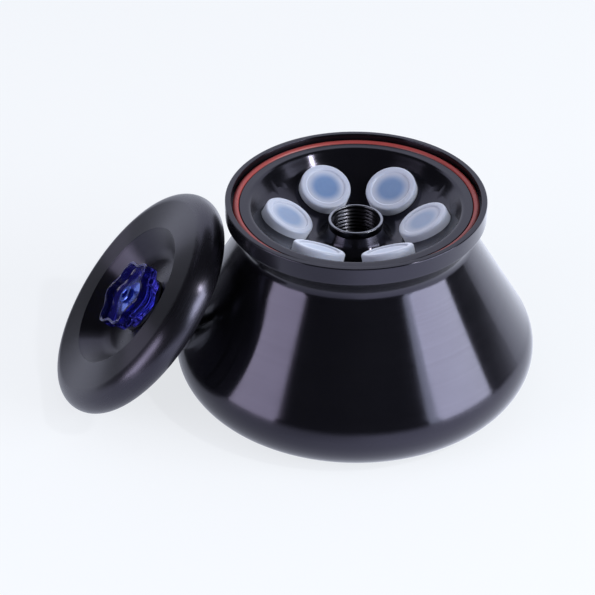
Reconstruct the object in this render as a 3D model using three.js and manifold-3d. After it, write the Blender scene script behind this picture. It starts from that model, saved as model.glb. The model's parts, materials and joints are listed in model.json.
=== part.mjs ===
// A fixed-angle centrifuge rotor for six capped bottles, with its lid off and leaning on it.
// Millimetres, +Z up. The rotor and the lid's lower edge stand on the plane z = 0.
// The origin is the middle of the area that the rotor and the lid cover together.
import * as THREE from 'three';
import { mergeVertices } from 'three/addons/utils/BufferGeometryUtils.js';
import Module from 'manifold-3d';

const wasm = await Module();
wasm.setup();

const degrees = Math.PI / 180;
const fullTurn = 2 * Math.PI;

// Clearances
const seatGap = 0.3;
const slidingGap = 0.4;
const threadGap = 0.5;
const overrun = 6;

// Facets: sides of a large ring, of a shaft, of a bottle and of a bolt, and how far the middle of
// a facet may lie inside the rounding that it follows
const ringSides = 40;
const shaftSides = 28;
const bottleSides = 18;
const boltSides = 12;
const facetDepth = 0.4;

// Bottles
const bottleCount = 6;
const bottleRadius = 19;
const bottleWall = 1.5;
const bottleReach = 106;
const capHeight = 14;
const linerThickness = 1.5;
const padThickness = 2;

// Where the bottles stand in the rotor
const bottleTilt = 28 * degrees;
const bottleTurn = -4 * degrees;
const capTopRadius = 47.7;
const capTopDepth = 16.8;
const capProud = 7.7;

// Rotor body
const rimHeight = 152;
const rimRadius = 94.5;
const collarDepth = 13;
const neckDrop = 28.3;
const coneAngle = 30.4 * degrees;
const shoulderRounding = 28.3;
const bellWall = 9;
const baseRingWidth = 11.5;

// Centre of the rotor
const hubRadius = 20;
const hubTopDepth = 18.5;
const lidThreadRadius = 16.75;
const drawbarRadius = 7.7;

// Lid
const lidRadius = 91.2;
const lidThickness = 24.4;
const bowlRadius = 55.7;
const bowlDepth = 15.4;
const knobRadius = 28;
const knobHeight = 18;
const spindleReach = 25.4;

// How the lid leans
const leanAzimuth = 185 * degrees;
const lidAzimuth = 188 * degrees;
const lidTilt = 48.5 * degrees;

function pointOnArc(centre, radius, angle) {
  return [centre[0] + radius * Math.cos(angle), centre[1] + radius * Math.sin(angle)];
}

// The angle between two points on a rounding whose chord lies the facet depth inside it.
function stepFor(radius) {
  return 2 * Math.acos(Math.max(0, 1 - facetDepth / radius));
}

// Points along an arc from one angle to another, both ends included.
function arc(centre, radius, from, to) {
  const steps = Math.max(1, Math.round(Math.abs(to - from) / stepFor(radius)));
  const points = [];
  for (let i = 0; i <= steps; i += 1) {
    points.push(pointOnArc(centre, radius, from + ((to - from) * i) / steps));
  }
  return points;
}

// A closed outline from corners [radius, height, rounding]. A rounding becomes an arc that
// touches both edges. Two roundings on one edge divide it in the ratio of their radii.
const edgeShare = 0.96;

function outline(corners) {
  const points = [];
  corners.forEach(([x, y, rounding], i) => {
    const here = new THREE.Vector2(x, y);
    if (!rounding) {
      points.push([x, y]);
      return;
    }
    const last = corners[(i + corners.length - 1) % corners.length];
    const next = corners[(i + 1) % corners.length];
    const back = new THREE.Vector2(last[0], last[1]).sub(here);
    const ahead = new THREE.Vector2(next[0], next[1]).sub(here);
    const roomBack = (back.length() * rounding) / (rounding + (last[2] || 0));
    const roomAhead = (ahead.length() * rounding) / (rounding + (next[2] || 0));
    const room = Math.min(roomBack, roomAhead) * edgeShare;
    back.normalize();
    ahead.normalize();
    const half = Math.acos(THREE.MathUtils.clamp(back.dot(ahead), -1, 1)) / 2;
    const reach = Math.min(rounding / Math.tan(half), room);
    const radius = reach * Math.tan(half);
    const inward = back.clone().add(ahead).normalize();
    const centre = here.clone().addScaledVector(inward, radius / Math.sin(half));
    const start = here.clone().addScaledVector(back, reach).sub(centre).angle();
    const end = here.clone().addScaledVector(ahead, reach).sub(centre).angle();
    const sweep = Math.atan2(Math.sin(end - start), Math.cos(end - start));
    points.push(...arc([centre.x, centre.y], radius, start, start + sweep));
  });
  return points;
}

// A turned solid about Z. The profile runs outward along the bottom, up the outside and back in.
// It starts and ends on the axis, or it closes on itself round a bore.
function turned(profile, sides) {
  const onAxis = Math.abs(profile[0][0]) === 0;
  const closed = onAxis ? profile : [...profile, profile[0]];
  const points = closed.map(([radius, height]) => new THREE.Vector2(radius, height));
  return new THREE.LatheGeometry(points, sides).rotateX(Math.PI / 2);
}

// A plain pin about Z from one height to another.
function pin(radius, from, to, sides) {
  return turned([[0, from], [radius, from], [radius, to], [0, to]], sides);
}

// A plain ring about Z.
function ring(inner, outer, from, to, sides) {
  return turned([[inner, from], [outer, from], [outer, to], [inner, to]], sides);
}

// A prism with six equal sides about Z, measured across its flats.
function hexPrism(acrossFlats, from, to) {
  const radius = acrossFlats / 2 / Math.cos(Math.PI / 6);
  const height = to - from;
  return new THREE.CylinderGeometry(radius, radius, height, 6)
    .rotateX(Math.PI / 2)
    .translate(0, 0, from + height / 2);
}

function solidOf(geometry) {
  const bare = geometry.index ? geometry.clone() : geometry;
  bare.deleteAttribute('normal');
  bare.deleteAttribute('uv');
  const merged = mergeVertices(bare);
  const index = Array.from(merged.index.array);
  const triangles = [];
  for (let i = 0; i < index.length; i += 3) {
    const [a, b, c] = index.slice(i, i + 3);
    if (a !== b && b !== c && c !== a) {
      triangles.push(a, b, c);
    }
  }
  return new wasm.Manifold(new wasm.Mesh({
    numProp: 3,
    vertProperties: new Float32Array(merged.attributes.position.array),
    triVerts: new Uint32Array(triangles),
  }));
}

function geometryOf(solid) {
  const mesh = solid.getMesh();
  const geometry = new THREE.BufferGeometry();
  geometry.setAttribute('position', new THREE.BufferAttribute(mesh.vertProperties, 3));
  geometry.setIndex(new THREE.BufferAttribute(mesh.triVerts, 1));
  return geometry;
}

function cut(geometry, cutters) {
  let solid = solidOf(geometry);
  cutters.forEach((cutter) => {
    solid = solid.subtract(solidOf(cutter));
  });
  return geometryOf(solid);
}

function piece(name, geometry, finish) {
  const mesh = new THREE.Mesh(geometry, finish);
  mesh.name = name;
  return mesh;
}

function finish(color, roughness, metalness, more = {}) {
  return new THREE.MeshStandardMaterial({ color, roughness, metalness, ...more });
}

const blackAnodised = finish(0x121217, 0.3, 0.7);
const mattBlack = finish(0x3a3b42, 0.55, 0.6);
const redRubber = finish(0xd8452f, 0.5, 0);
const greyRubber = finish(0x26262a, 0.8, 0);
const brightSteel = finish(0xb9bcc2, 0.25, 1);
const darkSteel = finish(0x3b3d42, 0.35, 0.9);
const capPlastic = finish(0xc3cde0, 0.45, 0);
const linerPlastic = finish(0xf0f2f5, 0.6, 0);
const clearPlastic = finish(0xe2e8f0, 0.25, 0, { transparent: true, opacity: 0.75 });
const bluePlastic = finish(0x1a1aa8, 0.12, 0, { transparent: true, opacity: 0.85 });

// Heights along a bottle's own axis, from the lowest point of its round bottom
const capBottom = bottleReach - capHeight;
const capRimWidth = 4.7;
const capRecess = 1.2;
const capPlate = 2;
const capEdge = 0.8;
const capInside = bottleReach - capRecess - capPlate;
const linerTop = capInside - seatGap;
const linerBottom = linerTop - linerThickness;
const mouthHeight = linerBottom - seatGap;

const neckStep = 3.5;
const neckWall = 2;
const bottleNeckRadius = bottleRadius - neckStep;
const shoulderGap = 1;
const shoulderHeight = 6;
const shoulderTop = capBottom - shoulderGap;
const shoulderBottom = shoulderTop - shoulderHeight;

function bottle() {
  const inner = bottleRadius - bottleWall;
  const innerNeck = bottleNeckRadius - neckWall;
  const innerShoulderTop = shoulderTop - bottleWall / 2;
  const innerShoulderBottom = shoulderBottom - bottleWall / 2;
  return turned([
    ...arc([0, bottleRadius], bottleRadius, -Math.PI / 2, 0).map(([x, y]) => [Math.max(x, 0), y]),
    [bottleRadius, shoulderBottom],
    [bottleNeckRadius, shoulderTop],
    [bottleNeckRadius, mouthHeight],
    [innerNeck, mouthHeight],
    [innerNeck, innerShoulderTop],
    [inner, innerShoulderBottom],
    ...arc([0, bottleRadius], inner, 0, -Math.PI / 2).slice(0, -1),
    [0, bottleWall],
  ].map(([x, y], i) => [i === 0 ? 0 : x, y]), bottleSides);
}

function bottleCap() {
  const bore = bottleNeckRadius + threadGap;
  const recess = bottleRadius - capRimWidth;
  return turned([
    [0, capInside],
    [bore, capInside],
    [bore, capBottom],
    [bottleRadius, capBottom],
    [bottleRadius, bottleReach - capEdge],
    [bottleRadius - capEdge, bottleReach],
    [recess + capEdge, bottleReach],
    [recess, bottleReach - capRecess],
    [0, bottleReach - capRecess],
  ], bottleSides);
}

function capLiner() {
  return pin(bottleNeckRadius, linerBottom, linerTop, bottleSides);
}

// The pocket fits round the bottle, and its bottom lies below the bottle by the pad's thickness.
const pocketRadius = bottleRadius + slidingGap;
const pocketBottom = -(padThickness + 2 * seatGap);
const pocketCentre = pocketBottom + pocketRadius;
const pocketTop = bottleReach + overrun;
const padReach = 45 * degrees;

function pocket() {
  const round = arc([0, pocketCentre], pocketRadius, -Math.PI / 2, 0);
  round[0][0] = 0;
  return turned([...round, [pocketRadius, pocketTop], [0, pocketTop]], bottleSides);
}

function pocketPad() {
  const down = -Math.PI / 2;
  const under = arc([0, pocketCentre], pocketRadius - seatGap, down, down + padReach);
  const over = arc([0, bottleRadius], bottleRadius + seatGap, down + padReach, down);
  under[0][0] = 0;
  over[over.length - 1][0] = 0;
  return turned([...under, ...over], bottleSides);
}

// A frame for whatever shares a bottle's axis: it leans inward by the tilt and is turned
// to the bottle's place, with its origin at the lowest point of the bottle.
function bottleFrame(index) {
  const frame = new THREE.Group();
  const azimuth = bottleTurn + (index * fullTurn) / bottleCount;
  const reach = capTopRadius + bottleReach * Math.sin(bottleTilt);
  const height = rimHeight - capTopDepth - bottleReach * Math.cos(bottleTilt);
  frame.position.set(reach * Math.cos(azimuth), reach * Math.sin(azimuth), height);
  frame.rotation.set(0, -bottleTilt, azimuth, 'ZYX');
  frame.updateMatrixWorld(true);
  return frame;
}

// Rotor body: sizes that follow from the bottles
const mouthRadius = capTopRadius + capProud * Math.sin(bottleTilt);
const dishHeight = rimHeight - capTopDepth - capProud * Math.cos(bottleTilt);
const bulbAlong = bottleReach - pocketCentre;
const bulbRadius = capTopRadius + bulbAlong * Math.sin(bottleTilt);
const bulbHeight = rimHeight - capTopDepth - bulbAlong * Math.cos(bottleTilt);

// The bell is a cone that keeps its wall outside the round bottoms of the pockets.
const coneOffset = (pocketRadius + bellWall) / Math.cos(coneAngle);

function coneRadiusAt(height) {
  return bulbRadius + coneOffset + (bulbHeight - height) * Math.tan(coneAngle);
}

const collarBottom = rimHeight - collarDepth;
const neckHeight = rimHeight - neckDrop;
const neckRadius = coneRadiusAt(neckHeight);
const neckRounding = 9;
const collarUndercut = 5.5;
const collarRounding = 2;
const rimEdge = 0.7;

// Seal groove, ledge and dish, from the rim inward
const lipWidth = 4.1;
const sealSection = 2.4;
const grooveWidth = 6.2;
const grooveDepth = 8.9;
const ledgeDepth = 4.8;
const ledgeWidth = 7.1;
const ledgeRounding = 4;
const dishWallWidth = 8.9;
const lipRadius = rimRadius - lipWidth;
const grooveInner = lipRadius - grooveWidth;
const grooveFloor = rimHeight - grooveDepth;
const sealRadius = grooveInner + seatGap + sealSection;
const sealHeight = grooveFloor + seatGap + sealSection;
const ledgeHeight = rimHeight - ledgeDepth;
const ledgeInner = grooveInner - ledgeWidth;
const dishEdge = ledgeInner - dishWallWidth;

function dishHeightAt(radius) {
  return dishHeight + (radius - mouthRadius) * Math.tan(bottleTilt);
}

// Hub, bore and web
const hubTop = rimHeight - hubTopDepth;
const bushFlange = 5;
const bushWall = 1.6;
const bushEdge = 0.8;
const bushLength = 28;
const bossTop = hubTop - bushFlange - seatGap;
const boreRadius = lidThreadRadius + bushWall + seatGap;
const flareWidth = 7;
const flareRounding = 9;
const webThickness = 10;
const webDepth = 86;
const webTop = rimHeight - webDepth;
const webHeight = webTop - webThickness;
const drawbarHole = drawbarRadius + threadGap;

// Underside: the hollow, which takes a share of the height under the pockets, and the seat of
// the drive adapter
const hollowShare = 0.676;
const hollowHeight = (bulbHeight - pocketRadius) * hollowShare;
const hollowRounding = 7;
const adapterRadius = 22;
const adapterFlange = 40.5;
const adapterFlangeHeight = 9.7;
const adapterLift = 2;
const adapterWall = 5.5;
const bossBottom = adapterLift + adapterFlangeHeight + seatGap;
const bossRadius = adapterFlange + adapterWall;
const baseRingOuter = coneRadiusAt(shoulderRounding) - shoulderRounding / Math.cos(coneAngle);
const baseRingInner = baseRingOuter - baseRingWidth;
const baseRingDraft = 3;

// Screws, pins and magnets of the underside
const adapterScrewCount = 3;
const adapterScrewPitch = 32.5;
const screwRadius = 3;
const screwLength = 15;
const screwHeadRadius = 4.9;
const screwHeadHeight = 4.6;
const screwSocket = 5;
const screwSocketDepth = 2.6;
const drivePinCount = 2;
const drivePinRadius = 2.5;
const drivePinPitch = 20.4;
const drivePinSeat = 3.8;
const drivePinLength = 7;
const driveCounterbore = 24;
const driveCounterboreDepth = 5;
const magnetCount = 3;
const magnetRadius = 4;
const magnetThickness = 3;
const magnetPitch = 68;

const screwHeadBottom = adapterLift + seatGap;
const screwHeadTop = screwHeadBottom + screwHeadHeight;
const screwSeat = screwHeadTop + seatGap;
const screwTop = screwSeat + screwLength;
const adapterFace = adapterLift + driveCounterboreDepth;
const drivePinTop = adapterFace + drivePinSeat;

// Copies of a geometry spread evenly about Z, from a first angle on.
function spread(geometry, count, radius, first) {
  const copies = [];
  for (let i = 0; i < count; i += 1) {
    const angle = first + (i * fullTurn) / count;
    copies.push(geometry.clone().translate(radius, 0, 0).rotateZ(angle));
  }
  return copies;
}

const screwFirst = fullTurn / 12;
const pinFirst = fullTurn / 4;
const magnetFirst = bottleTurn + Math.PI / bottleCount;

// The outside of the rotor from the table to the rim, which the lid leans on
const bellCorners = [
  [coneRadiusAt(0), 0, shoulderRounding],
  [neckRadius, neckHeight, neckRounding],
  [rimRadius - collarUndercut, collarBottom - collarUndercut, collarRounding],
  [rimRadius, collarBottom, collarRounding],
  [rimRadius, rimHeight, rimEdge],
];

function rotorBody() {
  const profile = outline([
    [drawbarHole, webHeight],
    [adapterRadius + seatGap, webHeight],
    [adapterRadius + seatGap, bossBottom],
    [bossRadius, bossBottom],
    [bossRadius, hollowHeight, hollowRounding],
    [baseRingInner - baseRingDraft, hollowHeight, hollowRounding],
    [baseRingInner, 0],
    ...bellCorners,
    [lipRadius, rimHeight],
    [lipRadius, grooveFloor],
    [grooveInner, grooveFloor],
    [grooveInner, ledgeHeight],
    [ledgeInner, ledgeHeight, ledgeRounding],
    [dishEdge, dishHeightAt(dishEdge), ledgeRounding],
    [hubRadius + flareWidth, dishHeightAt(hubRadius + flareWidth), flareRounding],
    [hubRadius, bossTop],
    [boreRadius, bossTop],
    [boreRadius, webTop],
    [drawbarHole, webTop],
  ]);
  const pockets = [];
  for (let i = 0; i < bottleCount; i += 1) {
    pockets.push(pocket().applyMatrix4(bottleFrame(i).matrixWorld));
  }
  const screwHole = pin(screwRadius + seatGap, bossBottom - overrun, screwTop + seatGap, boltSides);
  const magnetHole = pin(
    magnetRadius + seatGap,
    hollowHeight - overrun,
    hollowHeight + magnetThickness + 2 * seatGap,
    boltSides,
  );
  return cut(turned(profile, ringSides), [
    ...pockets,
    ...spread(screwHole, adapterScrewCount, adapterScrewPitch, screwFirst),
    ...spread(magnetHole, magnetCount, magnetPitch, magnetFirst),
  ]);
}

function sealRing() {
  const section = arc([sealRadius, sealHeight], sealSection, -Math.PI / 2, 1.5 * Math.PI);
  return turned(section.slice(0, -1), ringSides);
}

function threadBush() {
  const barrel = boreRadius - seatGap;
  const flangeBottom = bossTop + seatGap;
  return turned([
    [lidThreadRadius, hubTop - bushLength],
    [barrel, hubTop - bushLength],
    [barrel, flangeBottom],
    [hubRadius, flangeBottom],
    [hubRadius, hubTop - bushEdge],
    [hubRadius - bushEdge, hubTop],
    [lidThreadRadius + bushEdge, hubTop],
    [lidThreadRadius, hubTop - bushEdge],
  ], shaftSides);
}

// The drawbar that holds the rotor down: a washer on the web, a hexagon socket head, and a ring
// above the head that keeps it in
const drawbarWasherThickness = 2.2;
const drawbarWasherRadius = 16;
const drawbarHeadRadius = 14.5;
const drawbarHeadHeight = 13;
const drawbarLength = 42;
const drawbarSocket = 12;
const drawbarSocketDepth = 7;
const drawbarEdge = 1;
const keeperLift = 1.2;
const keeperThickness = 2;
const keeperBore = 10.5;
const washerBottom = webTop + seatGap;
const washerTop = washerBottom + drawbarWasherThickness;
const headBottom = washerTop + seatGap;
const headTop = headBottom + drawbarHeadHeight;
const keeperBottom = headTop + keeperLift;

function drawbarScrew() {
  const profile = [
    [0, headBottom - drawbarLength],
    [drawbarRadius - drawbarEdge, headBottom - drawbarLength],
    [drawbarRadius, headBottom - drawbarLength + drawbarEdge],
    [drawbarRadius, headBottom],
    [drawbarHeadRadius, headBottom],
    [drawbarHeadRadius, headTop - drawbarEdge],
    [drawbarHeadRadius - drawbarEdge, headTop],
    [0, headTop],
  ];
  const socket = hexPrism(drawbarSocket, headTop - drawbarSocketDepth, headTop + overrun);
  return cut(turned(profile, boltSides), [socket]);
}

// The adapter is the steel insert that sits on the drive shaft: a flange, a barrel and a taper.
const taperMouth = 16;
const taperTop = 11.5;
const adapterPlate = 9;

function driveAdapter() {
  const top = webHeight - seatGap;
  const flangeTop = bossBottom - seatGap;
  const profile = [
    [drawbarHole, top - adapterPlate],
    [taperTop, top - adapterPlate],
    [taperMouth, adapterFace],
    [driveCounterbore, adapterFace],
    [driveCounterbore, adapterLift],
    [adapterFlange, adapterLift],
    [adapterFlange, flangeTop],
    [adapterRadius, flangeTop],
    [adapterRadius, top],
    [drawbarHole, top],
  ];
  const headHole = pin(screwHeadRadius + slidingGap, adapterLift - overrun, screwSeat, boltSides);
  const shankHole = pin(screwRadius + seatGap, adapterLift, flangeTop + overrun, boltSides);
  const pinTop = drivePinTop + seatGap;
  const pinHole = pin(drivePinRadius + seatGap, adapterFace - overrun, pinTop, boltSides);
  return cut(turned(profile, shaftSides), [
    ...spread(headHole, adapterScrewCount, adapterScrewPitch, screwFirst),
    ...spread(shankHole, adapterScrewCount, adapterScrewPitch, screwFirst),
    ...spread(pinHole, drivePinCount, drivePinPitch, pinFirst),
  ]);
}

function adapterScrew() {
  const profile = [
    [0, screwHeadBottom],
    [screwHeadRadius, screwHeadBottom],
    [screwHeadRadius, screwHeadTop],
    [screwRadius, screwHeadTop],
    [screwRadius, screwTop],
    [0, screwTop],
  ];
  const socket = hexPrism(screwSocket, screwHeadBottom - overrun, screwHeadBottom + screwSocketDepth);
  return cut(turned(profile, boltSides), [socket]);
}

// Lid: its own frame has z = 0 at its back face and +z out of the face with the knob
const lidEdge = lidThickness / 2;
const lidFlatRadius = lidRadius - lidEdge;
const bowlEdgeDrop = 1.3;
const bowlEdgeRounding = 1.6;
const bowlSlope = 13;
const bowlRounding = 12;
const bowlFloor = lidThickness - bowlEdgeDrop - bowlDepth;
const spindleNeck = 12;
const spindleHole = spindleNeck + slidingGap;
const backGrooveInner = 50;
const backGrooveWidth = 20;
const backGrooveDepth = 9;
const backGrooveDraft = 4;
const backGrooveRounding = 3;

function lidDisc() {
  const backGrooveOuter = backGrooveInner + backGrooveWidth;
  const edge = arc([lidFlatRadius, lidEdge], lidEdge, -Math.PI / 2, Math.PI / 2);
  const profile = outline([
    [spindleHole, 0],
    [backGrooveInner, 0],
    [backGrooveInner + backGrooveDraft, backGrooveDepth, backGrooveRounding],
    [backGrooveOuter - backGrooveDraft, backGrooveDepth, backGrooveRounding],
    [backGrooveOuter, 0],
    ...edge,
    [bowlRadius, lidThickness - bowlEdgeDrop, bowlEdgeRounding],
    [bowlRadius - bowlSlope, bowlFloor, bowlRounding],
    [spindleHole, bowlFloor],
  ]);
  return turned(profile, ringSides);
}

// Spindle below the lid, washer, gasket and knob
const washerRadius = 19;
const lidWasherThickness = 2;
const gasketThickness = 1.5;
const gasketInner = 14;
const gasketOuter = 21;
const spindleEdge = 2;
const knobGrip = 8;
const knobLobes = 6;
const knobTurn = 4 * degrees;
const knobFloor = 11.5;
const knobFootRadius = 21;
const knobFootHeight = 2.5;
const knobFlareHeight = 5;
const knobEdge = 1.2;
const knobWall = 2.4;
const knobCupEdge = 1.2;
const knobValleyShare = 0.165;
const knobScrewRadius = 4;
const knobScrewHead = 6.5;
const knobScrewHeadHeight = 4;
const knobScrewLength = 14;
const knobScrewSocket = 6;
const knobScrewSocketDepth = 2.5;
const lobeSides = 48;

const lidWasherTop = -seatGap;
const lidWasherBottom = lidWasherTop - lidWasherThickness;
const spindleShoulder = lidWasherBottom - seatGap;
const gasketBottom = bowlFloor + seatGap;
const knobBottom = gasketBottom + gasketThickness + seatGap;
const knobTop = knobBottom + knobHeight;
const spindleTop = knobBottom + knobGrip;
const knobScrewSeat = knobBottom + knobFloor + seatGap;
const knobScrewBottom = knobScrewSeat - knobScrewLength;

// A lofted solid about Z through rings [radius at the lobes, height]. A ring draws in between
// its lobes by the valley share of its radius.
function lobed(rings) {
  const positions = [];
  const index = [];
  rings.forEach(([tip, height]) => {
    for (let i = 0; i < lobeSides; i += 1) {
      const angle = (i * fullTurn) / lobeSides;
      const valley = (1 - Math.cos(knobLobes * angle)) / 2;
      const radius = tip * (1 - knobValleyShare * valley);
      positions.push(radius * Math.cos(angle), radius * Math.sin(angle), height);
    }
  });
  const foot = positions.length / 3;
  positions.push(0, 0, rings[0][1], 0, 0, rings[rings.length - 1][1]);
  for (let i = 0; i < lobeSides; i += 1) {
    const next = (i + 1) % lobeSides;
    for (let row = 0; row < rings.length - 1; row += 1) {
      const here = row * lobeSides;
      const above = here + lobeSides;
      index.push(here + i, here + next, above + next, here + i, above + next, above + i);
    }
    const last = (rings.length - 1) * lobeSides;
    index.push(foot, next, i, foot + 1, last + i, last + next);
  }
  const geometry = new THREE.BufferGeometry();
  geometry.setAttribute('position', new THREE.Float32BufferAttribute(positions, 3));
  geometry.setIndex(index);
  return geometry;
}

function lidKnob() {
  const body = lobed([
    [knobFootRadius, knobBottom],
    [knobFootRadius, knobBottom + knobFootHeight],
    [knobRadius - knobEdge, knobBottom + knobFootHeight + knobFlareHeight],
    [knobRadius, knobBottom + knobFootHeight + knobFlareHeight + knobEdge],
    [knobRadius, knobTop - knobEdge],
    [knobRadius - knobEdge, knobTop],
  ]);
  const cupRadius = knobRadius - knobWall;
  const cup = lobed([
    [cupRadius - knobCupEdge, knobBottom + knobFloor],
    [cupRadius, knobBottom + knobFloor + knobCupEdge],
    [cupRadius, knobTop + overrun],
  ]);
  const socket = pin(spindleNeck + seatGap, knobBottom - overrun, spindleTop + seatGap, shaftSides);
  const hole = pin(knobScrewRadius + seatGap, knobBottom, knobTop, boltSides);
  return cut(body, [cup, socket, hole]).rotateZ(knobTurn);
}

function knobSpindle() {
  const thread = lidThreadRadius - threadGap;
  const profile = [
    [0, -spindleReach],
    [thread - spindleEdge, -spindleReach],
    [thread, -spindleReach + spindleEdge],
    [thread, spindleShoulder],
    [spindleNeck, spindleShoulder],
    [spindleNeck, spindleTop],
    [0, spindleTop],
  ];
  const tappedFrom = knobScrewBottom - seatGap;
  const tapped = pin(knobScrewRadius + seatGap, tappedFrom, spindleTop + overrun, boltSides);
  return cut(turned(profile, shaftSides), [tapped]).rotateZ(knobTurn);
}

function knobScrew() {
  const headTopHeight = knobScrewSeat + knobScrewHeadHeight;
  const profile = [
    [0, knobScrewBottom],
    [knobScrewRadius, knobScrewBottom],
    [knobScrewRadius, knobScrewSeat],
    [knobScrewHead, knobScrewSeat],
    [knobScrewHead, headTopHeight],
    [0, headTopHeight],
  ];
  const socketFloor = headTopHeight - knobScrewSocketDepth;
  const socket = hexPrism(knobScrewSocket, socketFloor, headTopHeight + overrun);
  return cut(turned(profile, boltSides), [socket]).rotateZ(knobTurn);
}

// Radius of the rotor's outside at a height, between the points of its outline.
const bellOutline = outline([[0, 0], ...bellCorners, [0, rimHeight]]);

function bellRadiusAt(height) {
  let radius = 0;
  for (let i = 1; i < bellOutline.length; i += 1) {
    const [r0, z0] = bellOutline[i - 1];
    const [r1, z1] = bellOutline[i];
    if (z0 !== z1 && (height - z0) * (height - z1) <= 0) {
      radius = Math.max(radius, r0 + ((r1 - r0) * (height - z0)) / (z1 - z0));
    }
  }
  return radius;
}

// How far along a level direction a group must stand so that all its points clear the rotor.
function standOff(group, direction) {
  let distance = 0;
  const point = new THREE.Vector3();
  group.updateMatrixWorld(true);
  group.traverse((mesh) => {
    if (!mesh.isMesh) {
      return;
    }
    const positions = mesh.geometry.attributes.position;
    for (let i = 0; i < positions.count; i += 1) {
      point.fromBufferAttribute(positions, i).applyMatrix4(mesh.matrixWorld);
      const room = bellRadiusAt(point.z) + seatGap;
      const along = point.x * direction.x + point.y * direction.y;
      const rest = along * along - point.x * point.x - point.y * point.y + room * room;
      if (rest > 0) {
        distance = Math.max(distance, Math.sqrt(rest) - along);
      }
    }
  });
  return distance;
}

function lidGroup() {
  const lid = new THREE.Group();
  const washer = ring(spindleHole, washerRadius, lidWasherBottom, lidWasherTop, shaftSides);
  const gasketTop = gasketBottom + gasketThickness;
  const gasket = ring(gasketInner, gasketOuter, gasketBottom, gasketTop, shaftSides);
  lid.add(
    piece('lid_disc', lidDisc(), mattBlack),
    piece('lid_thrust_washer', washer, brightSteel),
    piece('knob_gasket', gasket, greyRubber),
    piece('lid_knob', lidKnob(), bluePlastic),
    piece('knob_spindle', knobSpindle(), brightSteel),
    piece('knob_screw', knobScrew(), darkSteel),
  );
  lid.rotation.set(0, lidTilt, lidAzimuth, 'ZYX');
  const foot = new THREE.Box3().setFromObject(lid, true).min.z;
  lid.position.z = -foot;
  const away = new THREE.Vector3(Math.cos(leanAzimuth), Math.sin(leanAzimuth), 0);
  lid.position.addScaledVector(away, standOff(lid, away));
  return lid;
}

function rotorGroup() {
  const rotor = new THREE.Group();
  const drawbarWasher = ring(drawbarHole, drawbarWasherRadius, washerBottom, washerTop, shaftSides);
  const keeperTop = keeperBottom + keeperThickness;
  const keeper = ring(keeperBore, boreRadius - seatGap, keeperBottom, keeperTop, shaftSides);
  rotor.add(
    piece('rotor_body', rotorBody(), blackAnodised),
    piece('rim_seal_ring', sealRing(), redRubber),
    piece('lid_thread_bush', threadBush(), darkSteel),
    piece('drawbar_screw', drawbarScrew(), brightSteel),
    piece('drawbar_washer', drawbarWasher, brightSteel),
    piece('drawbar_keeper_ring', keeper, darkSteel),
    piece('drive_adapter', driveAdapter(), brightSteel),
  );
  const drivePin = pin(drivePinRadius, drivePinTop - drivePinLength, drivePinTop, boltSides);
  const magnetBottom = hollowHeight + seatGap;
  const magnet = pin(magnetRadius, magnetBottom, magnetBottom + magnetThickness, boltSides);
  const screws = spread(adapterScrew(), adapterScrewCount, adapterScrewPitch, screwFirst);
  const pins = spread(drivePin, drivePinCount, drivePinPitch, pinFirst);
  const magnets = spread(magnet, magnetCount, magnetPitch, magnetFirst);
  screws.forEach((copy, i) => rotor.add(piece(`adapter_screw_${i + 1}`, copy, darkSteel)));
  pins.forEach((copy, i) => rotor.add(piece(`drive_pin_${i + 1}`, copy, brightSteel)));
  magnets.forEach((copy, i) => rotor.add(piece(`identity_magnet_${i + 1}`, copy, brightSteel)));
  for (let i = 0; i < bottleCount; i += 1) {
    const frame = bottleFrame(i);
    frame.add(
      piece(`pocket_pad_${i + 1}`, pocketPad(), greyRubber),
      piece(`bottle_${i + 1}`, bottle(), clearPlastic),
      piece(`cap_liner_${i + 1}`, capLiner(), linerPlastic),
      piece(`bottle_cap_${i + 1}`, bottleCap(), capPlastic),
    );
    rotor.add(frame);
  }
  return rotor;
}

// The whole assembly, moved so that the origin is the middle of the area it covers.
const assembly = new THREE.Group();
assembly.add(rotorGroup(), lidGroup());
const extent = new THREE.Box3().setFromObject(assembly, true);
const middle = extent.getCenter(new THREE.Vector3());
assembly.position.set(-middle.x, -middle.y, -extent.min.z);

export default assembly;
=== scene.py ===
import json
import math

import bmesh
import bpy
import numpy as np
from mathutils import Matrix, Vector

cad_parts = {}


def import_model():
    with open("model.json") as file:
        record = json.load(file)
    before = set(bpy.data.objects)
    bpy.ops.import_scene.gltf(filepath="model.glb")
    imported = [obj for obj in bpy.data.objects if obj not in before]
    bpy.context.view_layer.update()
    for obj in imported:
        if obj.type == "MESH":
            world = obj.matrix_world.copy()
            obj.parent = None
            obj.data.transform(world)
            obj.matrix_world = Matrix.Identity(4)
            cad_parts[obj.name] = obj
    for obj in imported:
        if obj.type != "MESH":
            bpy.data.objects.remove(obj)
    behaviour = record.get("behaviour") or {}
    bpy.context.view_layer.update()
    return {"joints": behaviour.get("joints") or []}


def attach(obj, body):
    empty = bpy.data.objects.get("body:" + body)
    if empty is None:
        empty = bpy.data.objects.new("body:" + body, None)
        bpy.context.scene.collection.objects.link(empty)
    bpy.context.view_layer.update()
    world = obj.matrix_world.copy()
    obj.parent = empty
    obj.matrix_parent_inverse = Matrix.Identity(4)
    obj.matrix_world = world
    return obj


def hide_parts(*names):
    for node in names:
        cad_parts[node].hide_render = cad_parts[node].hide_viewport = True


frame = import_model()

# Millimetres to metres: every shape below is worked out in millimetres, in its own frame
MM = 0.001
FULL_TURN = 2 * math.pi

# Clearances
SEAT_GAP = 0.3
SLIDING_GAP = 0.4
THREAD_GAP = 0.5

# Edges that several pieces share: small roundings, chamfers, and edges just broken
FINE_ROUNDING = 0.3
EDGE_ROUNDING = 0.4
SOFT_ROUNDING = 0.5
EDGE_BREAK = 0.3
FINE_BREAK = 0.2
CHAMFER = 1

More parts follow.
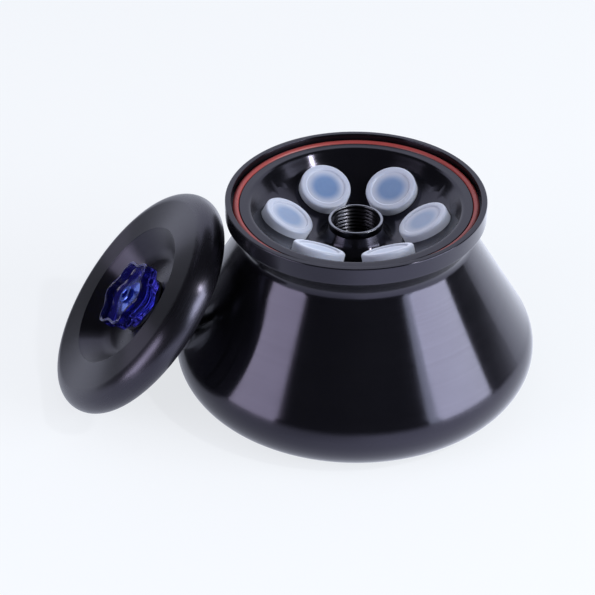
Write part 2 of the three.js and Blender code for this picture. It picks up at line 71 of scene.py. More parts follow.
# Threads: depth and pitch, the share by which the wave is steepened to leave a flat crest, the run-out
# at each end in pitches, and the rows of points to a pitch
THREAD_DEPTH = 0.9
LID_PITCH = 3.0
BOTTLE_PITCH = 3.5
THREAD_STEEPENED = 1.25
THREAD_RUN_OUT = 0.6
THREAD_ROWS = 10

# Bottles
BOTTLE_COUNT = 6
BOTTLE_RADIUS = 19
BOTTLE_WALL = 1.5
BOTTLE_REACH = 106
BOTTLE_TILT = math.radians(28)
BOTTLE_TURN = math.radians(-4)
CAP_HEIGHT = 14
CAP_TOP_RADIUS = 47.7
CAP_TOP_DEPTH = 16.8
CAP_PROUD = 7.7
CAP_RIM_WIDTH = 4.7
CAP_RECESS = 1.2
CAP_RECESS_DRAFT = 0.5
CAP_EDGE_ROUNDING = 1.5
CAP_LIP_ROUNDING = 1.1
CAP_RECESS_ROUNDING = 0.8
CAP_PLATE = 2
LINER_RADIUS = 15.5
LINER_THICKNESS = 1.5
PAD_THICKNESS = 2
NECK_RADIUS = 15.5
NECK_WALL = 2
NECK_PLAIN = 1
NECK_THREAD_PROUD = 0.3
NECK_THREAD_START = 1.2
NECK_THREAD_END = 1
LIP_HEIGHT = 0.8
BARREL_START = 1
INSIDE_DROP = 1
BOTTLE_SHOULDER_ROUNDING = 3
BOTTLE_NECK_ROUNDING = 1.2
BOTTLE_INSIDE_ROUNDING = 2
CAP_BOTTOM = BOTTLE_REACH - CAP_HEIGHT
CAP_INSIDE = BOTTLE_REACH - CAP_RECESS - CAP_PLATE
LINER_TOP = CAP_INSIDE - SEAT_GAP
LINER_BOTTOM = LINER_TOP - LINER_THICKNESS
MOUTH_HEIGHT = LINER_BOTTOM - SEAT_GAP
SHOULDER_TOP = CAP_BOTTOM - 1
SHOULDER_BOTTOM = SHOULDER_TOP - 6

# Pockets
POCKET_RADIUS = BOTTLE_RADIUS + SLIDING_GAP
POCKET_BOTTOM = -(PAD_THICKNESS + 2 * SEAT_GAP)
POCKET_CENTRE = POCKET_BOTTOM + POCKET_RADIUS
POCKET_EDGE = 0.7
BOTTLE_OUT = CAP_TOP_RADIUS + BOTTLE_REACH * math.sin(BOTTLE_TILT)

# Rotor body
RIM_HEIGHT = 152
RIM_RADIUS = 94.5
BOTTLE_UP = RIM_HEIGHT - CAP_TOP_DEPTH - BOTTLE_REACH * math.cos(BOTTLE_TILT)
CONE_ANGLE = math.radians(30.4)
BULB_ALONG = BOTTLE_REACH - POCKET_CENTRE
BULB_RADIUS = CAP_TOP_RADIUS + BULB_ALONG * math.sin(BOTTLE_TILT)
BULB_HEIGHT = RIM_HEIGHT - CAP_TOP_DEPTH - BULB_ALONG * math.cos(BOTTLE_TILT)
BELL_WALL = 9
BELL_INSET = 0.4
CONE_OFFSET = (POCKET_RADIUS + BELL_WALL) / math.cos(CONE_ANGLE) - BELL_INSET
MOUTH_RADIUS = CAP_TOP_RADIUS + CAP_PROUD * math.sin(BOTTLE_TILT)
DISH_HEIGHT = RIM_HEIGHT - CAP_TOP_DEPTH - CAP_PROUD * math.cos(BOTTLE_TILT)
COLLAR_BOTTOM = RIM_HEIGHT - 13
COLLAR_UNDERCUT = 5.5
COLLAR_ROUNDING = 2
RIM_ROUNDING = 0.7
NECK_HEIGHT = RIM_HEIGHT - 28.3
NECK_ROUNDING = 9
LIP_RADIUS = RIM_RADIUS - 4.1
SEAL_SECTION = 2.4
GROOVE_INNER = LIP_RADIUS - 6.2
GROOVE_FLOOR = RIM_HEIGHT - 8.9
SEAL_RADIUS = GROOVE_INNER + SEAT_GAP + SEAL_SECTION
SEAL_HEIGHT = GROOVE_FLOOR + SEAT_GAP + SEAL_SECTION
LEDGE_HEIGHT = RIM_HEIGHT - 4.8
LEDGE_INNER = GROOVE_INNER - 7.1
LEDGE_ROUNDING = 4
DISH_EDGE = LEDGE_INNER - 8.9
SHOULDER_ROUNDING = 28.3
BASE_WIDTH = 11.5

# Hub
HUB_RADIUS = 20
HUB_TOP = RIM_HEIGHT - 18.5
HUB_FOOT = HUB_RADIUS + 7
HUB_ROUNDING = 9
LID_THREAD = 16.75
BUSH_LENGTH = 28
BUSH_THREAD_DEPTH = 1.1
BUSH_THREAD_START = 1
BUSH_THREAD_END = 1.2
BUSH_FOOT_ROUNDING = 0.2
BUSH_OUTER_ROUNDING = 0.8
BUSH_INNER_ROUNDING = 0.9
BOSS_TOP = HUB_TOP - 5 - SEAT_GAP
BORE_RADIUS = LID_THREAD + 1.6 + SEAT_GAP
WEB_TOP = RIM_HEIGHT - 86
WEB_HEIGHT = WEB_TOP - 10
DRAWBAR_RADIUS = 7.7
DRAWBAR_HOLE = DRAWBAR_RADIUS + THREAD_GAP
DRAWBAR_LENGTH = 42
DRAWBAR_HEAD = 14.5
DRAWBAR_HEAD_HEIGHT = 13
DRAWBAR_SOCKET = 12
DRAWBAR_SOCKET_DEPTH = 7
DRAWBAR_SOCKET_CHAMFER = 0.5
DRAWBAR_SOCKET_POINT = 1
WASHER_RADIUS = 16
WASHER_THICKNESS = 2.2
KEEPER_GAP = 1.2
KEEPER_HOLE = 10.5
KEEPER_THICKNESS = 2

# Underside
HOLLOW_HEIGHT = (BULB_HEIGHT - POCKET_RADIUS) * 0.676
HOLLOW_ROUNDING = 7
HOLLOW_DRAFT = 3
ADAPTER_RADIUS = 22
ADAPTER_FLANGE = 40.5
ADAPTER_LIFT = 2
ADAPTER_FLANGE_TOP = ADAPTER_LIFT + 9.7
ADAPTER_FACE = ADAPTER_LIFT + 5
ADAPTER_CEILING = 9
ADAPTER_CONE_TOP = 11.5
ADAPTER_CONE_MOUTH = 16
ADAPTER_COUNTERBORE = 24
ADAPTER_FOOT_ROUNDING = 0.6
BOSS_BOTTOM = ADAPTER_FLANGE_TOP + SEAT_GAP
BOSS_RADIUS = ADAPTER_FLANGE + 5.5
SCREW_RING = (26.5, 38.5)
SCREW_PITCH = 32.5
SCREW_HEAD = 4.9
SCREW_HEAD_BOTTOM = ADAPTER_LIFT + SEAT_GAP
SCREW_HEAD_TOP = SCREW_HEAD_BOTTOM + 4.6
SCREW_SHANK = 3
SCREW_LENGTH = 15.3
SCREW_SOCKET = 5
SCREW_SOCKET_DEPTH = 2.9
SCREW_COUNT = 3
SCREW_TURN = math.radians(30)
PIN_RING = (16.9, 23.9)
PIN_PITCH = 20.4
PIN_RADIUS = 2.5
PIN_LENGTH = 7
PIN_SUNK = 3.8
PIN_COUNT = 2
PIN_TURN = math.radians(90)
PIN_TAPER = 0.6
PIN_TAPER_HEIGHT = 0.7
PIN_SHOULDER = 0.1
MAGNET_PITCH = 68
MAGNET_RADIUS = 4
MAGNET_THICKNESS = 3
MAGNET_COUNT = 3

# Lid
LID_RADIUS = 91.2
LID_INSET = 0.53
LID_THICKNESS = 24.4
LID_EDGE = LID_THICKNESS / 2
LID_FLAT_END = 0.6
BOWL_RADIUS = 55.7
BOWL_EDGE_DROP = 1.3
BOWL_FLOOR = LID_THICKNESS - BOWL_EDGE_DROP - 15.4
BOWL_SLOPE = 13
BOWL_ROUNDING = 12
BOWL_EDGE_WIDTH = 0.8
BOWL_EDGE_ROUNDING = 0.9
BACK_GROOVE_IN = 50
BACK_GROOVE_OUT = 70
BACK_GROOVE_DRAFT = 4
BACK_GROOVE_DEPTH = 9
BACK_GROOVE_ROUNDING = 0.6
BACK_GROOVE_FLOOR_ROUNDING = 3
THRUST_WASHER = 19
THRUST_THICKNESS = 2
GASKET_HOLE = 14
GASKET_THICKNESS = 1.5

# Knob and spindle
SPINDLE_NECK = 12
SPINDLE_HOLE = SPINDLE_NECK + SLIDING_GAP
SPINDLE_REACH = 25.4
SPINDLE_TIP_TAPER = 1.8
SPINDLE_TIP_HEIGHT = 1.6
SPINDLE_TIP_ROUNDING = 0.6
SPINDLE_SHOULDER_ROUNDING = 0.2
SPINDLE_THREAD_START = 2
SPINDLE_THREAD_END = 0.6
KNOB_TURN = math.radians(4)
KNOB_LOBES = 6
KNOB_VALLEY = 0.165
KNOB_RADIUS = 28
KNOB_WALL = 2.4
KNOB_FOOT = 21
KNOB_FOOT_HEIGHT = 2.5
KNOB_FLARE_HEIGHT = 8.1
KNOB_WEB = 16
KNOB_FOOT_ROUNDING = 0.8
KNOB_WAIST_ROUNDING = 1.6
KNOB_FLARE_ROUNDING = 1.8
KNOB_RIM_ROUNDING = 1.0
KNOB_FLOOR_ROUNDING = 1.6
KNOB_BOTTOM = BOWL_FLOOR + SEAT_GAP + GASKET_THICKNESS + SEAT_GAP
KNOB_TOP = KNOB_BOTTOM + 18
KNOB_FLOOR = KNOB_BOTTOM + 11.5
SPINDLE_TOP = KNOB_BOTTOM + 8
SPINDLE_SHOULDER = -(SEAT_GAP + THRUST_THICKNESS + SEAT_GAP)
KNOB_SCREW_SEAT = KNOB_FLOOR + SEAT_GAP
KNOB_SCREW_HOLE = 4.3
KNOB_SCREW_LENGTH = 14
KNOB_SCREW_HEAD = 6.5
KNOB_SCREW_HEAD_HEIGHT = 4
KNOB_SCREW_CHAMFER = 0.5
KNOB_SCREW_SOCKET = 6
KNOB_SCREW_SOCKET_DEPTH = 2.5
KNOB_SCREW_POINT = 0.4

# Sides of the turned surfaces: the body's are the sectors' steps, one sector for each bottle
SECTOR_STEPS = 36
BODY_SIDES = BOTTLE_COUNT * SECTOR_STEPS
SEAL_SIDES = 288
LID_SIDES = 240
KNOB_SIDES = 216
ADAPTER_WEDGES = 12
ADAPTER_SIDES = 144
THREAD_SIDES = 96
CAP_SIDES = 96
BOTTLE_SIDES = 72
KNOB_SCREW_SIDES = 72
DISC_SIDES = 64
SCREW_SIDES = 48

# Chords of the arcs in the profiles
LID_EDGE_STEPS = 60
SEAL_STEPS = 32
BOTTLE_STEPS = 20
BOTTLE_INSIDE_STEPS = 18
PAD_STEPS = 14

# Where the wedges with pockets and with magnet seats begin and end, the nearest that a ring of points
# comes to an end, the points of the outline taken in beyond each end, and the rings between
DISH_IN, DISH_OUT = 24.5, 76.2
DISH_MARGIN = 0.05
DISH_SPARE = 3
DISH_RINGS = np.arange(33, 66, 2.2)
SEATS_IN, SEATS_OUT = 60, 76
MAGNET_WEDGES = (0, 2, 4)
SCREW_WEDGES = (1, 5, 9)
PIN_WEDGES = (3, 9)
POCKET_ROWS = 26
POCKET_EDGE_STEPS = 4
POCKET_BALL_STEPS = 10
RING_ROWS = 6
HOLE_ROWS = 5

# The pocket's wall: shares of the way down from its edge to the half sphere
WALL_SHARES = (0.03, 0.4, 0.97, 1)

# The stretch of the bottle's axis in which the pocket's edge is looked for, and how often it is halved
POCKET_SEARCH = (60.0, 125.0)
HALVINGS = 45

# Roundings: how far a chord may stray from its arc, the fewest chords, the largest share of its room
# on an edge that a rounding takes, and how far beyond it the flat is held flat
ARC_DEPTH = 0.012
ARC_STEPS = 5
ARC_SHARE = 0.96
FLAT_HOLD = 0.5

# Lengths that count as nothing, in the unit at hand, and the bend above which an edge is a crease
TINY = 1e-6
CREASE_ANGLE = math.radians(32)

# Closing points far outside the lid's pieces, which give the first and last edge their direction
FAR_ABOVE = (60, 60)
FAR_BELOW = (60, -60)


# Where the pieces are: frames on the axes of the joints


def unit(vector):
    """A vector of length 1 in the same direction."""
    return vector / np.linalg.norm(vector)


def frame_at(origin, up, out):
    """A 4x4 placement in metres: z along up, and x along the part of out that is square to it."""
    up = unit(np.array(up, float))
    out = np.array(out, float)
    across = unit(out - (out @ up) * up)
    place = np.eye(4)
    place[:3, :3] = np.stack([across, np.cross(up, across), up], 1)
    place[:3, 3] = origin
    return place


joints = {joint["name"]: joint for joint in frame["joints"]}
rotor_axis = joints["drawbar_turn"]["pos_m"]
rotor_place = frame_at([rotor_axis[0], rotor_axis[1], 0], [0, 0, 1], [1, 0, 0])
lid_joint = joints["knob_turn"]
lid_place = frame_at(lid_joint["pos_m"], lid_joint["axis"], [0, 0, -1])


def bottle_place(number):
    """A bottle's frame: on its cap's axis, with x toward the rotor's axis."""
    cap = joints[f"cap_{number}_turn"]
    return frame_at(cap["pos_m"], cap["axis"], [-cap["axis"][0], -cap["axis"][1], 0])


# Profiles


def rounded(corners):
    """An outline through corners (radius, height, rounding). A rounding becomes an arc that touches
    both edges. Two roundings on one edge divide it in the ratio of their radii. A further point
    along each edge beside an arc keeps the flat flat."""
    points = []
    for i, corner in enumerate(corners):
        here = np.array(corner[:2], float)
        rounding = corner[2] if len(corner) > 2 else 0
        if not rounding:
            points.append(here[None])
            continue
        rooms, ways = [], []
        for other in (corners[i - 1], corners[(i + 1) % len(corners)]):
            way = np.subtract(other[:2], here)
            other_rounding = other[2] if len(other) > 2 else 0
            rooms.append(np.linalg.norm(way) * rounding / (rounding + other_rounding))
            ways.append(unit(way))
        half = math.acos(np.clip(ways[0] @ ways[1], -1, 1)) / 2
        reach = min(rounding / math.tan(half), ARC_SHARE * min(rooms))
        radius = reach * math.tan(half)
        centre = here + unit(ways[0] + ways[1]) * radius / math.sin(half)
        first, last = here + ways[0] * reach - centre, here + ways[1] * reach - centre
        start = math.atan2(first[1], first[0])
        sweep = math.atan2(first[0] * last[1] - first[1] * last[0], first @ last)
        chord = 2 * math.acos(1 - min(ARC_DEPTH / radius, 0.5))
        steps = max(ARC_STEPS, math.ceil(abs(sweep) / chord))
        angle = start + sweep * np.linspace(0, 1, steps + 1)
        bend = centre + radius * np.stack([np.cos(angle), np.sin(angle)], -1)
        beside = [here + way * (reach + min(FLAT_HOLD, (room - reach) / 2)) for way, room in zip(ways, rooms)]
        points.append(np.vstack([beside[:1], bend, beside[1:]]))
    return np.vstack(points)


def open_rounded(corners, closing):
    """An open outline whose ends may be rounded too. The closing point gives their missing edge its
    direction and is left out."""
    return rounded([*corners, closing])[:-1]


def bend_points(centre, radius, start, end, steps):
    """Points (radius, height) along an arc: the centre plus the radius times cosine and sine of an
    angle from level, in degrees."""
    angle = np.radians(np.linspace(start, end, steps + 1))
    return np.stack([centre[0] + radius * np.cos(angle), centre[1] + radius * np.sin(angle)], -1)


def washer(hole, outer, low, top, hole_rounding, outer_rounding):
    """The section of a flat ring with rounded edges."""
    return rounded([
        (hole, low, hole_rounding),
        (outer, low, outer_rounding),
        (outer, top, outer_rounding),
        (hole, top, hole_rounding),
    ])


def flat_disc(radius, low, thickness, edge):
    """The outline of a flat disc with chamfered edges."""
    top = low + thickness
    return [
        (0, low),
        (radius - edge, low),
        (radius, low + edge),
        (radius, top - edge),
        (radius - edge, top),
        (0, top),
    ]


def shared(points, share):
    """Profile points with the share by which they follow the lobes or the hexagon."""
    points = np.array(points, float)
    return np.column_stack([points, np.full(len(points), float(share))])


# Surfaces: grids of points


def turned(profile, sides, first=0.0, form=None):
    """A grid of points round Z: column j stands at radius r_j and height z_j of the profile, and row
    i is turned by i steps, so x is the radius times the cosine of the turn and y the radius times
    its sine. Where the profile has a third value, it is the share by which the radius follows
    form(angle), such as a hexagon or lobes."""
    profile = np.array(profile, float)
    angle = first + FULL_TURN * np.arange(sides)[:, None] / sides
    radius = profile[None, :, 0] * np.ones((sides, 1))
    if form is not None:
        share = profile[None, :, 2]
        radius = radius * (1 + share * (form(angle) - 1))
    height = profile[None, :, 1] * np.ones((sides, 1))
    return np.stack([radius * np.cos(angle), radius * np.sin(angle), height], -1)


def circle(point, sides):
    """The circle of points that one profile point makes."""
    return turned([point], sides)[:, 0]


def strip(first, last):
    """A closed band of faces between two circles of equally many points."""
    return np.stack([first, last], 1), True, False


def hexagon(angle):
    """Radius of a hexagon of corner radius 1, by angle: cosine of half a sixth of a turn over the
    cosine of the angle from the nearest flat's middle."""
    sixth = FULL_TURN / 6
    return math.cos(sixth / 2) / np.cos(np.mod(angle, sixth) - sixth / 2)


def hexagon_corner(across_flats):
    """Corner radius of a hexagon of a width across flats: half the width over the cosine of 30
    degrees."""
    return across_flats / 2 / math.cos(math.pi / 6)


def lobes(angle):
    """Radius of the knob by angle: 1 on its lobes, and between them less by the valley share times
    half of (1 - cosine of the angle times the number of lobes)."""
    return 1 - KNOB_VALLEY * (1 - np.cos(KNOB_LOBES * angle)) / 2


def threaded(radius, depth, bottom, top, pitch, sides=THREAD_SIDES):
    """A helical thread as a grid: the radius falls from its crest by the depth times (1 - a triangle
    wave of height / pitch - angle / full turn). The wave is steepened and cut off at the crest, which
    leaves a narrow flat, and the thread runs out to the crest's radius at both ends."""
    rows = int(round((top - bottom) / pitch * THREAD_ROWS))
    height = np.linspace(bottom, top, rows + 1)[None, :] * np.ones((sides, 1))
    angle = FULL_TURN * np.arange(sides)[:, None] / sides
    phase = np.mod(height / pitch - angle / FULL_TURN, 1)
    wave = np.clip(THREAD_STEEPENED * (1 - np.abs(2 * phase - 1)), 0.0, 1.0)
    fade = np.clip(np.minimum(height - bottom, top - height) / (THREAD_RUN_OUT * pitch), 0, 1)
    r = radius - depth * (1 - wave) * fade
    return np.stack([r * np.cos(angle), r * np.sin(angle), height], -1)


def thread_between(before, thread, after, sides):
    """A turned profile, a thread and another turned profile, with the bands that join them."""
    return [
        (turned(before, sides), True, False),
        strip(circle(before[-1], sides), thread[:, 0]),
        (thread, True, False),
        strip(thread[:, -1], circle(after[0], sides)),
        (turned(after, sides), True, False),
    ]


def wedge_border(radii, half, steps):
    """A closed plan curve round a wedge: out along one side, round the far arc, in along the other
    side and back round the near arc."""
    turn = np.linspace(-half, half, steps + 1)
    sides = len(radii) - 1
    r = np.concatenate([radii[:-1], np.full(steps, radii[-1]), radii[::-1][:-1], np.full(steps, radii[0])])
    a = np.concatenate([np.full(sides, -half), turn[:-1], np.full(sides, half), turn[::-1][:-1]])
    return np.stack([r * np.cos(a), r * np.sin(a)], -1)


def swung(grid, angle):
    """A grid turned about Z by an angle: x and y are mixed by its cosine and sine."""
    c, s = math.cos(angle), math.sin(angle)
    return grid @ np.array([[c, s, 0], [-s, c, 0], [0, 0, 1]])


def between(start, end, rows):
    """Rows of points that run straight from one curve to another: (1 - share) times the first plus
    share times the second."""
    share = np.linspace(0, 1, rows + 1)[:, None, None]
    return start[None] * (1 - share) + end[None] * share


def at_height(plan, height):
    """Points in plan, lifted to a height."""
    return np.concatenate([plan, np.full((*plan.shape[:-1], 1), height)], -1)


def pierced_ring(inner, outer, height, sectors, steps, holed, pitch, hole, end, first):
    """A level ring made of equal wedges. Each wedge in the list has a blind round hole of radius
    hole, centred at radius pitch, that ends at another height: straight rows join the hole's edge
    to the wedge's border."""
    half = math.pi / sectors
    radii = np.linspace(inner, outer, RING_ROWS + 1)
    border = wedge_border(radii, half, steps)
    angle = np.arctan2(border[:, 1], border[:, 0] - pitch)
    edge = np.stack([pitch + hole * np.cos(angle), hole * np.sin(angle)], -1)
    centre = np.tile([[pitch, 0.0]], (len(edge), 1))
    floor_rows = at_height(between(edge, border, HOLE_ROWS), height)
    well = np.stack([at_height(edge, height), at_height(edge, end), at_height(centre, end)])
    turn = np.linspace(-half, half, steps + 1)[:, None]
    plain = np.stack([radii * np.cos(turn), radii * np.sin(turn), height + 0 * radii * turn], -1)
    grids = []
    for sector in range(sectors):
        swing = first + sector * 2 * half
        if sector in holed:
            grids += [(swung(floor_rows, swing), False, True), (swung(well, swing), False, True)]
        else:
            grids.append((swung(plain, swing), False, False))
    return grids


# Pieces


def grid_faces(index):
    """The four-cornered faces of a grid of point numbers."""
    corners = [index[:-1, :-1], index[1:, :-1], index[1:, 1:], index[:-1, 1:]]
    return np.stack(corners, -1).reshape(-1, 4)


def keep_vectors(mesh, key, vectors):
    """Keeps a vector for each point of a mesh, for its finish to read."""
    values = vectors.astype(np.float32).ravel()
    mesh.attributes.new(key, "FLOAT_VECTOR", "POINT").data.foreach_set("vector", values)


def build(name, grids, finish, body, nodes, place):
    """Joins grids of points (rows x columns x 3) into one closed mesh with its faces outward, and
    moves it to its place. Each grid comes with two flags: whether its last row joins the first,
    and whether its last column does. Grids that share an edge are welded there. The attribute own
    keeps each point's place in the piece's own frame, in millimetres, and the attribute around the
    direction in which the piece was turned."""
    points, faces, start = [], [], 0
    for grid, rows_close, columns_close in grids:
        index = start + np.arange(grid.shape[0] * grid.shape[1]).reshape(grid.shape[:2])
        start += index.size
        if rows_close:
            index = np.vstack([index, index[:1]])
        if columns_close:
            index = np.hstack([index, index[:, :1]])
        faces.append(grid_faces(index))
        points.append(grid.reshape(-1, 3))
    points, faces = np.vstack(points), np.vstack(faces)
    mesh = bpy.data.meshes.new(name)
    mesh.from_pydata((points * MM @ place[:3, :3].T + place[:3, 3]).tolist(), [], faces.tolist())
    around = np.stack([-points[:, 1], points[:, 0], 0 * points[:, 0]], -1)
    around /= np.maximum(np.linalg.norm(around, axis=1, keepdims=True), TINY)
    keep_vectors(mesh, "own", points)
    keep_vectors(mesh, "around", around @ place[:3, :3].T)
    shell = bmesh.new()
    shell.from_mesh(mesh)
    bmesh.ops.remove_doubles(shell, verts=shell.verts, dist=TINY)
    bmesh.ops.recalc_face_normals(shell, faces=shell.faces)
    shell.to_mesh(mesh)
    shell.free()
    mesh.shade_smooth()
    mesh.set_sharp_from_angle(angle=CREASE_ANGLE)
    mesh.materials.append(finish)
    piece = bpy.data.objects.new(name, mesh)
    bpy.context.scene.collection.objects.link(piece)
    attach(piece, body)
    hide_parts(*nodes)


def solid(name, profile, sides, finish, body, replaced, place, form=None):
    """A piece turned from one open profile that starts and ends on the axis."""
    build(name, [(turned(profile, sides, form=form), True, False)], finish, body, [replaced], place)


def ring(name, section, sides, finish, body, replaced, place):
    """A piece turned from one closed section that stays clear of the axis."""
    build(name, [(turned(section, sides), True, True)], finish, body, [replaced], place)


# Finishes

ANODISED_TINT = (0.79, 0.75, 1.0)
LINE_CONTRAST = 0.13
QUARTER_TURN = 0.25
CAP_THIN_TO_THICK = (7.0, 14.5)
KNOB_THICK_TO_THIN = (17.0, 12.5)
POLYPROPYLENE_INDEX = 1.49
ACRYLIC_INDEX = 1.49


def new_finish(name):
    """An empty node material, its tree and its main shader."""
    finish = bpy.data.materials.new(name)
    finish.use_nodes = True
    return finish, finish.node_tree, finish.node_tree.nodes["Principled BSDF"]


def node(tree, kind, settings=None, **inputs):
    """Adds a node, sets its properties, and sets or links its inputs by name, or by i and a number."""
    made = tree.nodes.new(kind)
    for key, value in (settings or {}).items():
        setattr(made, key, value)
    for key, value in inputs.items():
        slot = made.inputs[int(key[1:])] if key[0] == "i" and key[1:].isdigit() else made.inputs[key]
        if isinstance(value, bpy.types.NodeSocket):
            tree.links.new(value, slot)
        else:
            slot.default_value = value
    return made


def arithmetic(tree, operation, *values):
    """A sum, a product or another simple reckoning of two or three values."""
    inputs = {f"i{i}": value for i, value in enumerate(values)}
    return node(tree, "ShaderNodeMath", {"operation": operation}, **inputs).outputs[0]


def ranged(tree, value, low, high):
    """The 0 to 1 value stretched between two others."""
    return node(tree, "ShaderNodeMapRange", Value=value, **{"To Min": low, "To Max": high}).outputs[0]


def ramp(tree, value, start, end, kind="LINEAR"):
    """0 where the value is at the start, 1 where it is at the end, and between them a ramp."""
    return node(tree, "ShaderNodeMapRange", {"interpolation_type": kind}, Value=value,
                **{"From Min": start, "From Max": end}).outputs[0]


def own_place(tree):
    """Sockets of the radius and the height of a point in its piece's own frame, in millimetres,
    and of the place itself."""
    place = node(tree, "ShaderNodeAttribute", {"attribute_name": "own"}).outputs["Vector"]
    parts = node(tree, "ShaderNodeSeparateXYZ", Vector=place)
    level = node(tree, "ShaderNodeCombineXYZ", X=parts.outputs["X"], Y=parts.outputs["Y"])
    radius = node(tree, "ShaderNodeVectorMath", {"operation": "LENGTH"}, i0=level.outputs[0])
    return radius.outputs["Value"], parts.outputs["Z"], place


def turning_marks(tree, scale, detail=2.0):
    """Noise that runs round the axis, as a lathe tool leaves it: it changes with radius and height
    only. The scale is in marks to a millimetre."""
    radius, height, _ = own_place(tree)
    along = node(tree, "ShaderNodeCombineXYZ", X=radius, Z=height)
    marks = node(tree, "ShaderNodeTexNoise", Vector=along.outputs[0], Scale=scale, Detail=detail)
    return marks.outputs["Fac"]


def cloudy(tree, scale, detail=3.0):
    """Noise over the piece's own place, for handling marks and shade, scale in clouds to a
    millimetre."""
    _, _, place = own_place(tree)
    return node(tree, "ShaderNodeTexNoise", Vector=place, Scale=scale, Detail=detail).outputs["Fac"]


def relief(tree, shader, value, depth):
    """Bump of the given depth in metres."""
    bump = node(tree, "ShaderNodeBump", Height=value, Strength=1.0, Distance=depth)
    tree.links.new(bump.outputs[0], shader.inputs["Normal"])


def mixed(tree, share, first, second):
    """A colour between two, by a share."""
    mix = node(tree, "ShaderNodeMix", {"data_type": "RGBA"}, Factor=share)
    for key, colour in (("A", first), ("B", second)):
        socket = [s for s in mix.inputs if s.name == key and s.type == "RGBA"][0]
        if isinstance(colour, bpy.types.NodeSocket):
            tree.links.new(colour, socket)
        else:
            socket.default_value = (*colour, 1)
    return [s for s in mix.outputs if s.type == "RGBA"][0]


def brushed_round(tree, shader, amount):
    """Spreads gloss across the turning marks more than along them."""
    around = node(tree, "ShaderNodeAttribute", {"attribute_name": "around"}).outputs["Vector"]
    change = {"vector_type": "VECTOR", "convert_from": "OBJECT", "convert_to": "WORLD"}
    turned_with = node(tree, "ShaderNodeVectorTransform", change, Vector=around)
    tree.links.new(turned_with.outputs[0], shader.inputs["Tangent"])
    shader.inputs["Anisotropic"].default_value = amount
    shader.inputs["Anisotropic Rotation"].default_value = QUARTER_TURN


def anodised(name, low, high, rough_low, rough_high, mark_scale, mark_depth, spread, shine):
    """Black anodised aluminium: a dark violet-black skin over fine turning marks, with slightly
    uneven gloss where it has been handled."""
    finish, tree, shader = new_finish(name)
    tree.links.new(mixed(tree, cloudy(tree, 0.03), low, high), shader.inputs["Base Color"])
    shader.inputs["Specular Tint"].default_value = (*ANODISED_TINT, 1)
    uneven = arithmetic(tree, "ADD", turning_marks(tree, 0.45, 1.0), cloudy(tree, 0.05))
    gloss = node(tree, "ShaderNodeMapRange", Value=uneven,
                 **{"From Min": 0.6, "From Max": 1.4, "To Min": rough_low, "To Max": rough_high}).outputs[0]
    tree.links.new(gloss, shader.inputs["Roughness"])
    relief(tree, shader, turning_marks(tree, mark_scale), mark_depth)
    weak, strong = (1 - LINE_CONTRAST) * shine, (1 + LINE_CONTRAST) * shine
    lines = ranged(tree, turning_marks(tree, 1.1, 4.0), weak, strong)
    tree.links.new(lines, shader.inputs["Specular IOR Level"])
    brushed_round(tree, shader, spread)
    return finish, tree, shader, gloss


def matter_within(finish_parts, radius_limit, height_limit, matt, spread):
    """Makes an anodised finish more matt and more grooved within a radius and above a height, where
    the tool faced the piece."""
    finish, tree, shader, gloss = finish_parts
    radius, height, _ = own_place(tree)
    near = ramp(tree, radius, radius_limit + 1, radius_limit - 1)
    above = ramp(tree, height, height_limit - 0.2, height_limit)
    faced = arithmetic(tree, "MULTIPLY", near, above)
    uneven = arithmetic(tree, "MULTIPLY_ADD", cloudy(tree, 0.04), 0.06, matt - 0.03)
    mix = node(tree, "ShaderNodeMix", i0=faced, i2=gloss, i3=uneven)
    tree.links.new(mix.outputs[0], shader.inputs["Roughness"])
    grooved = ranged(tree, faced, shader.inputs["Anisotropic"].default_value, spread)
    tree.links.new(grooved, shader.inputs["Anisotropic"])
    return finish


def steel(name, colour, dark, rough_low, rough_high, mark_depth=6e-6, edge=1.0):
    """Turned steel: metal whose shade and gloss change with the tool marks."""
    finish, tree, shader = new_finish(name)
    shader.inputs["Metallic"].default_value = 1
    shader.inputs["Specular Tint"].default_value = (edge, edge, edge, 1)
    marks = turning_marks(tree, 3.0)
    tree.links.new(mixed(tree, marks, colour, dark), shader.inputs["Base Color"])
    tree.links.new(ranged(tree, marks, rough_low, rough_high), shader.inputs["Roughness"])
    relief(tree, shader, marks, mark_depth)
    return finish


def blackened(name):
    """Steel with a thin black skin."""
    return steel(name, (0.05, 0.05, 0.06), (0.03, 0.03, 0.036), 0.2, 0.34, edge=0.9)


def painted_top_highlight(finish, highlight_colour, top):
    """Paints a highlight into a blackened finish: a patchy light metal colour along the highest edge of the
    piece.
    """
    tree = finish.node_tree
    shader = tree.nodes["Principled BSDF"]
    _, height, _ = own_place(tree)
    near = ramp(tree, height, top - 0.5, top - 0.1)
    patchy = ranged(tree, cloudy(tree, 0.25), 0.55, 1.0)
    # painted highlight: the share of the light metal colour near the top edge, in patches
    highlight_share = arithmetic(tree, "MULTIPLY", near, patchy)
    black = shader.inputs["Base Color"].links[0].from_socket
    tree.links.new(mixed(tree, highlight_share, black, highlight_colour), shader.inputs["Base Color"])
    return finish


def rubber(name, low, high, roughness, grain_depth):
    """Moulded rubber: a soft uneven shade with fine grain."""
    finish, tree, shader = new_finish(name)
    tree.links.new(mixed(tree, cloudy(tree, 0.4), low, high), shader.inputs["Base Color"])
    shader.inputs["Roughness"].default_value = roughness
    relief(tree, shader, cloudy(tree, 6.0), grain_depth)
    return finish


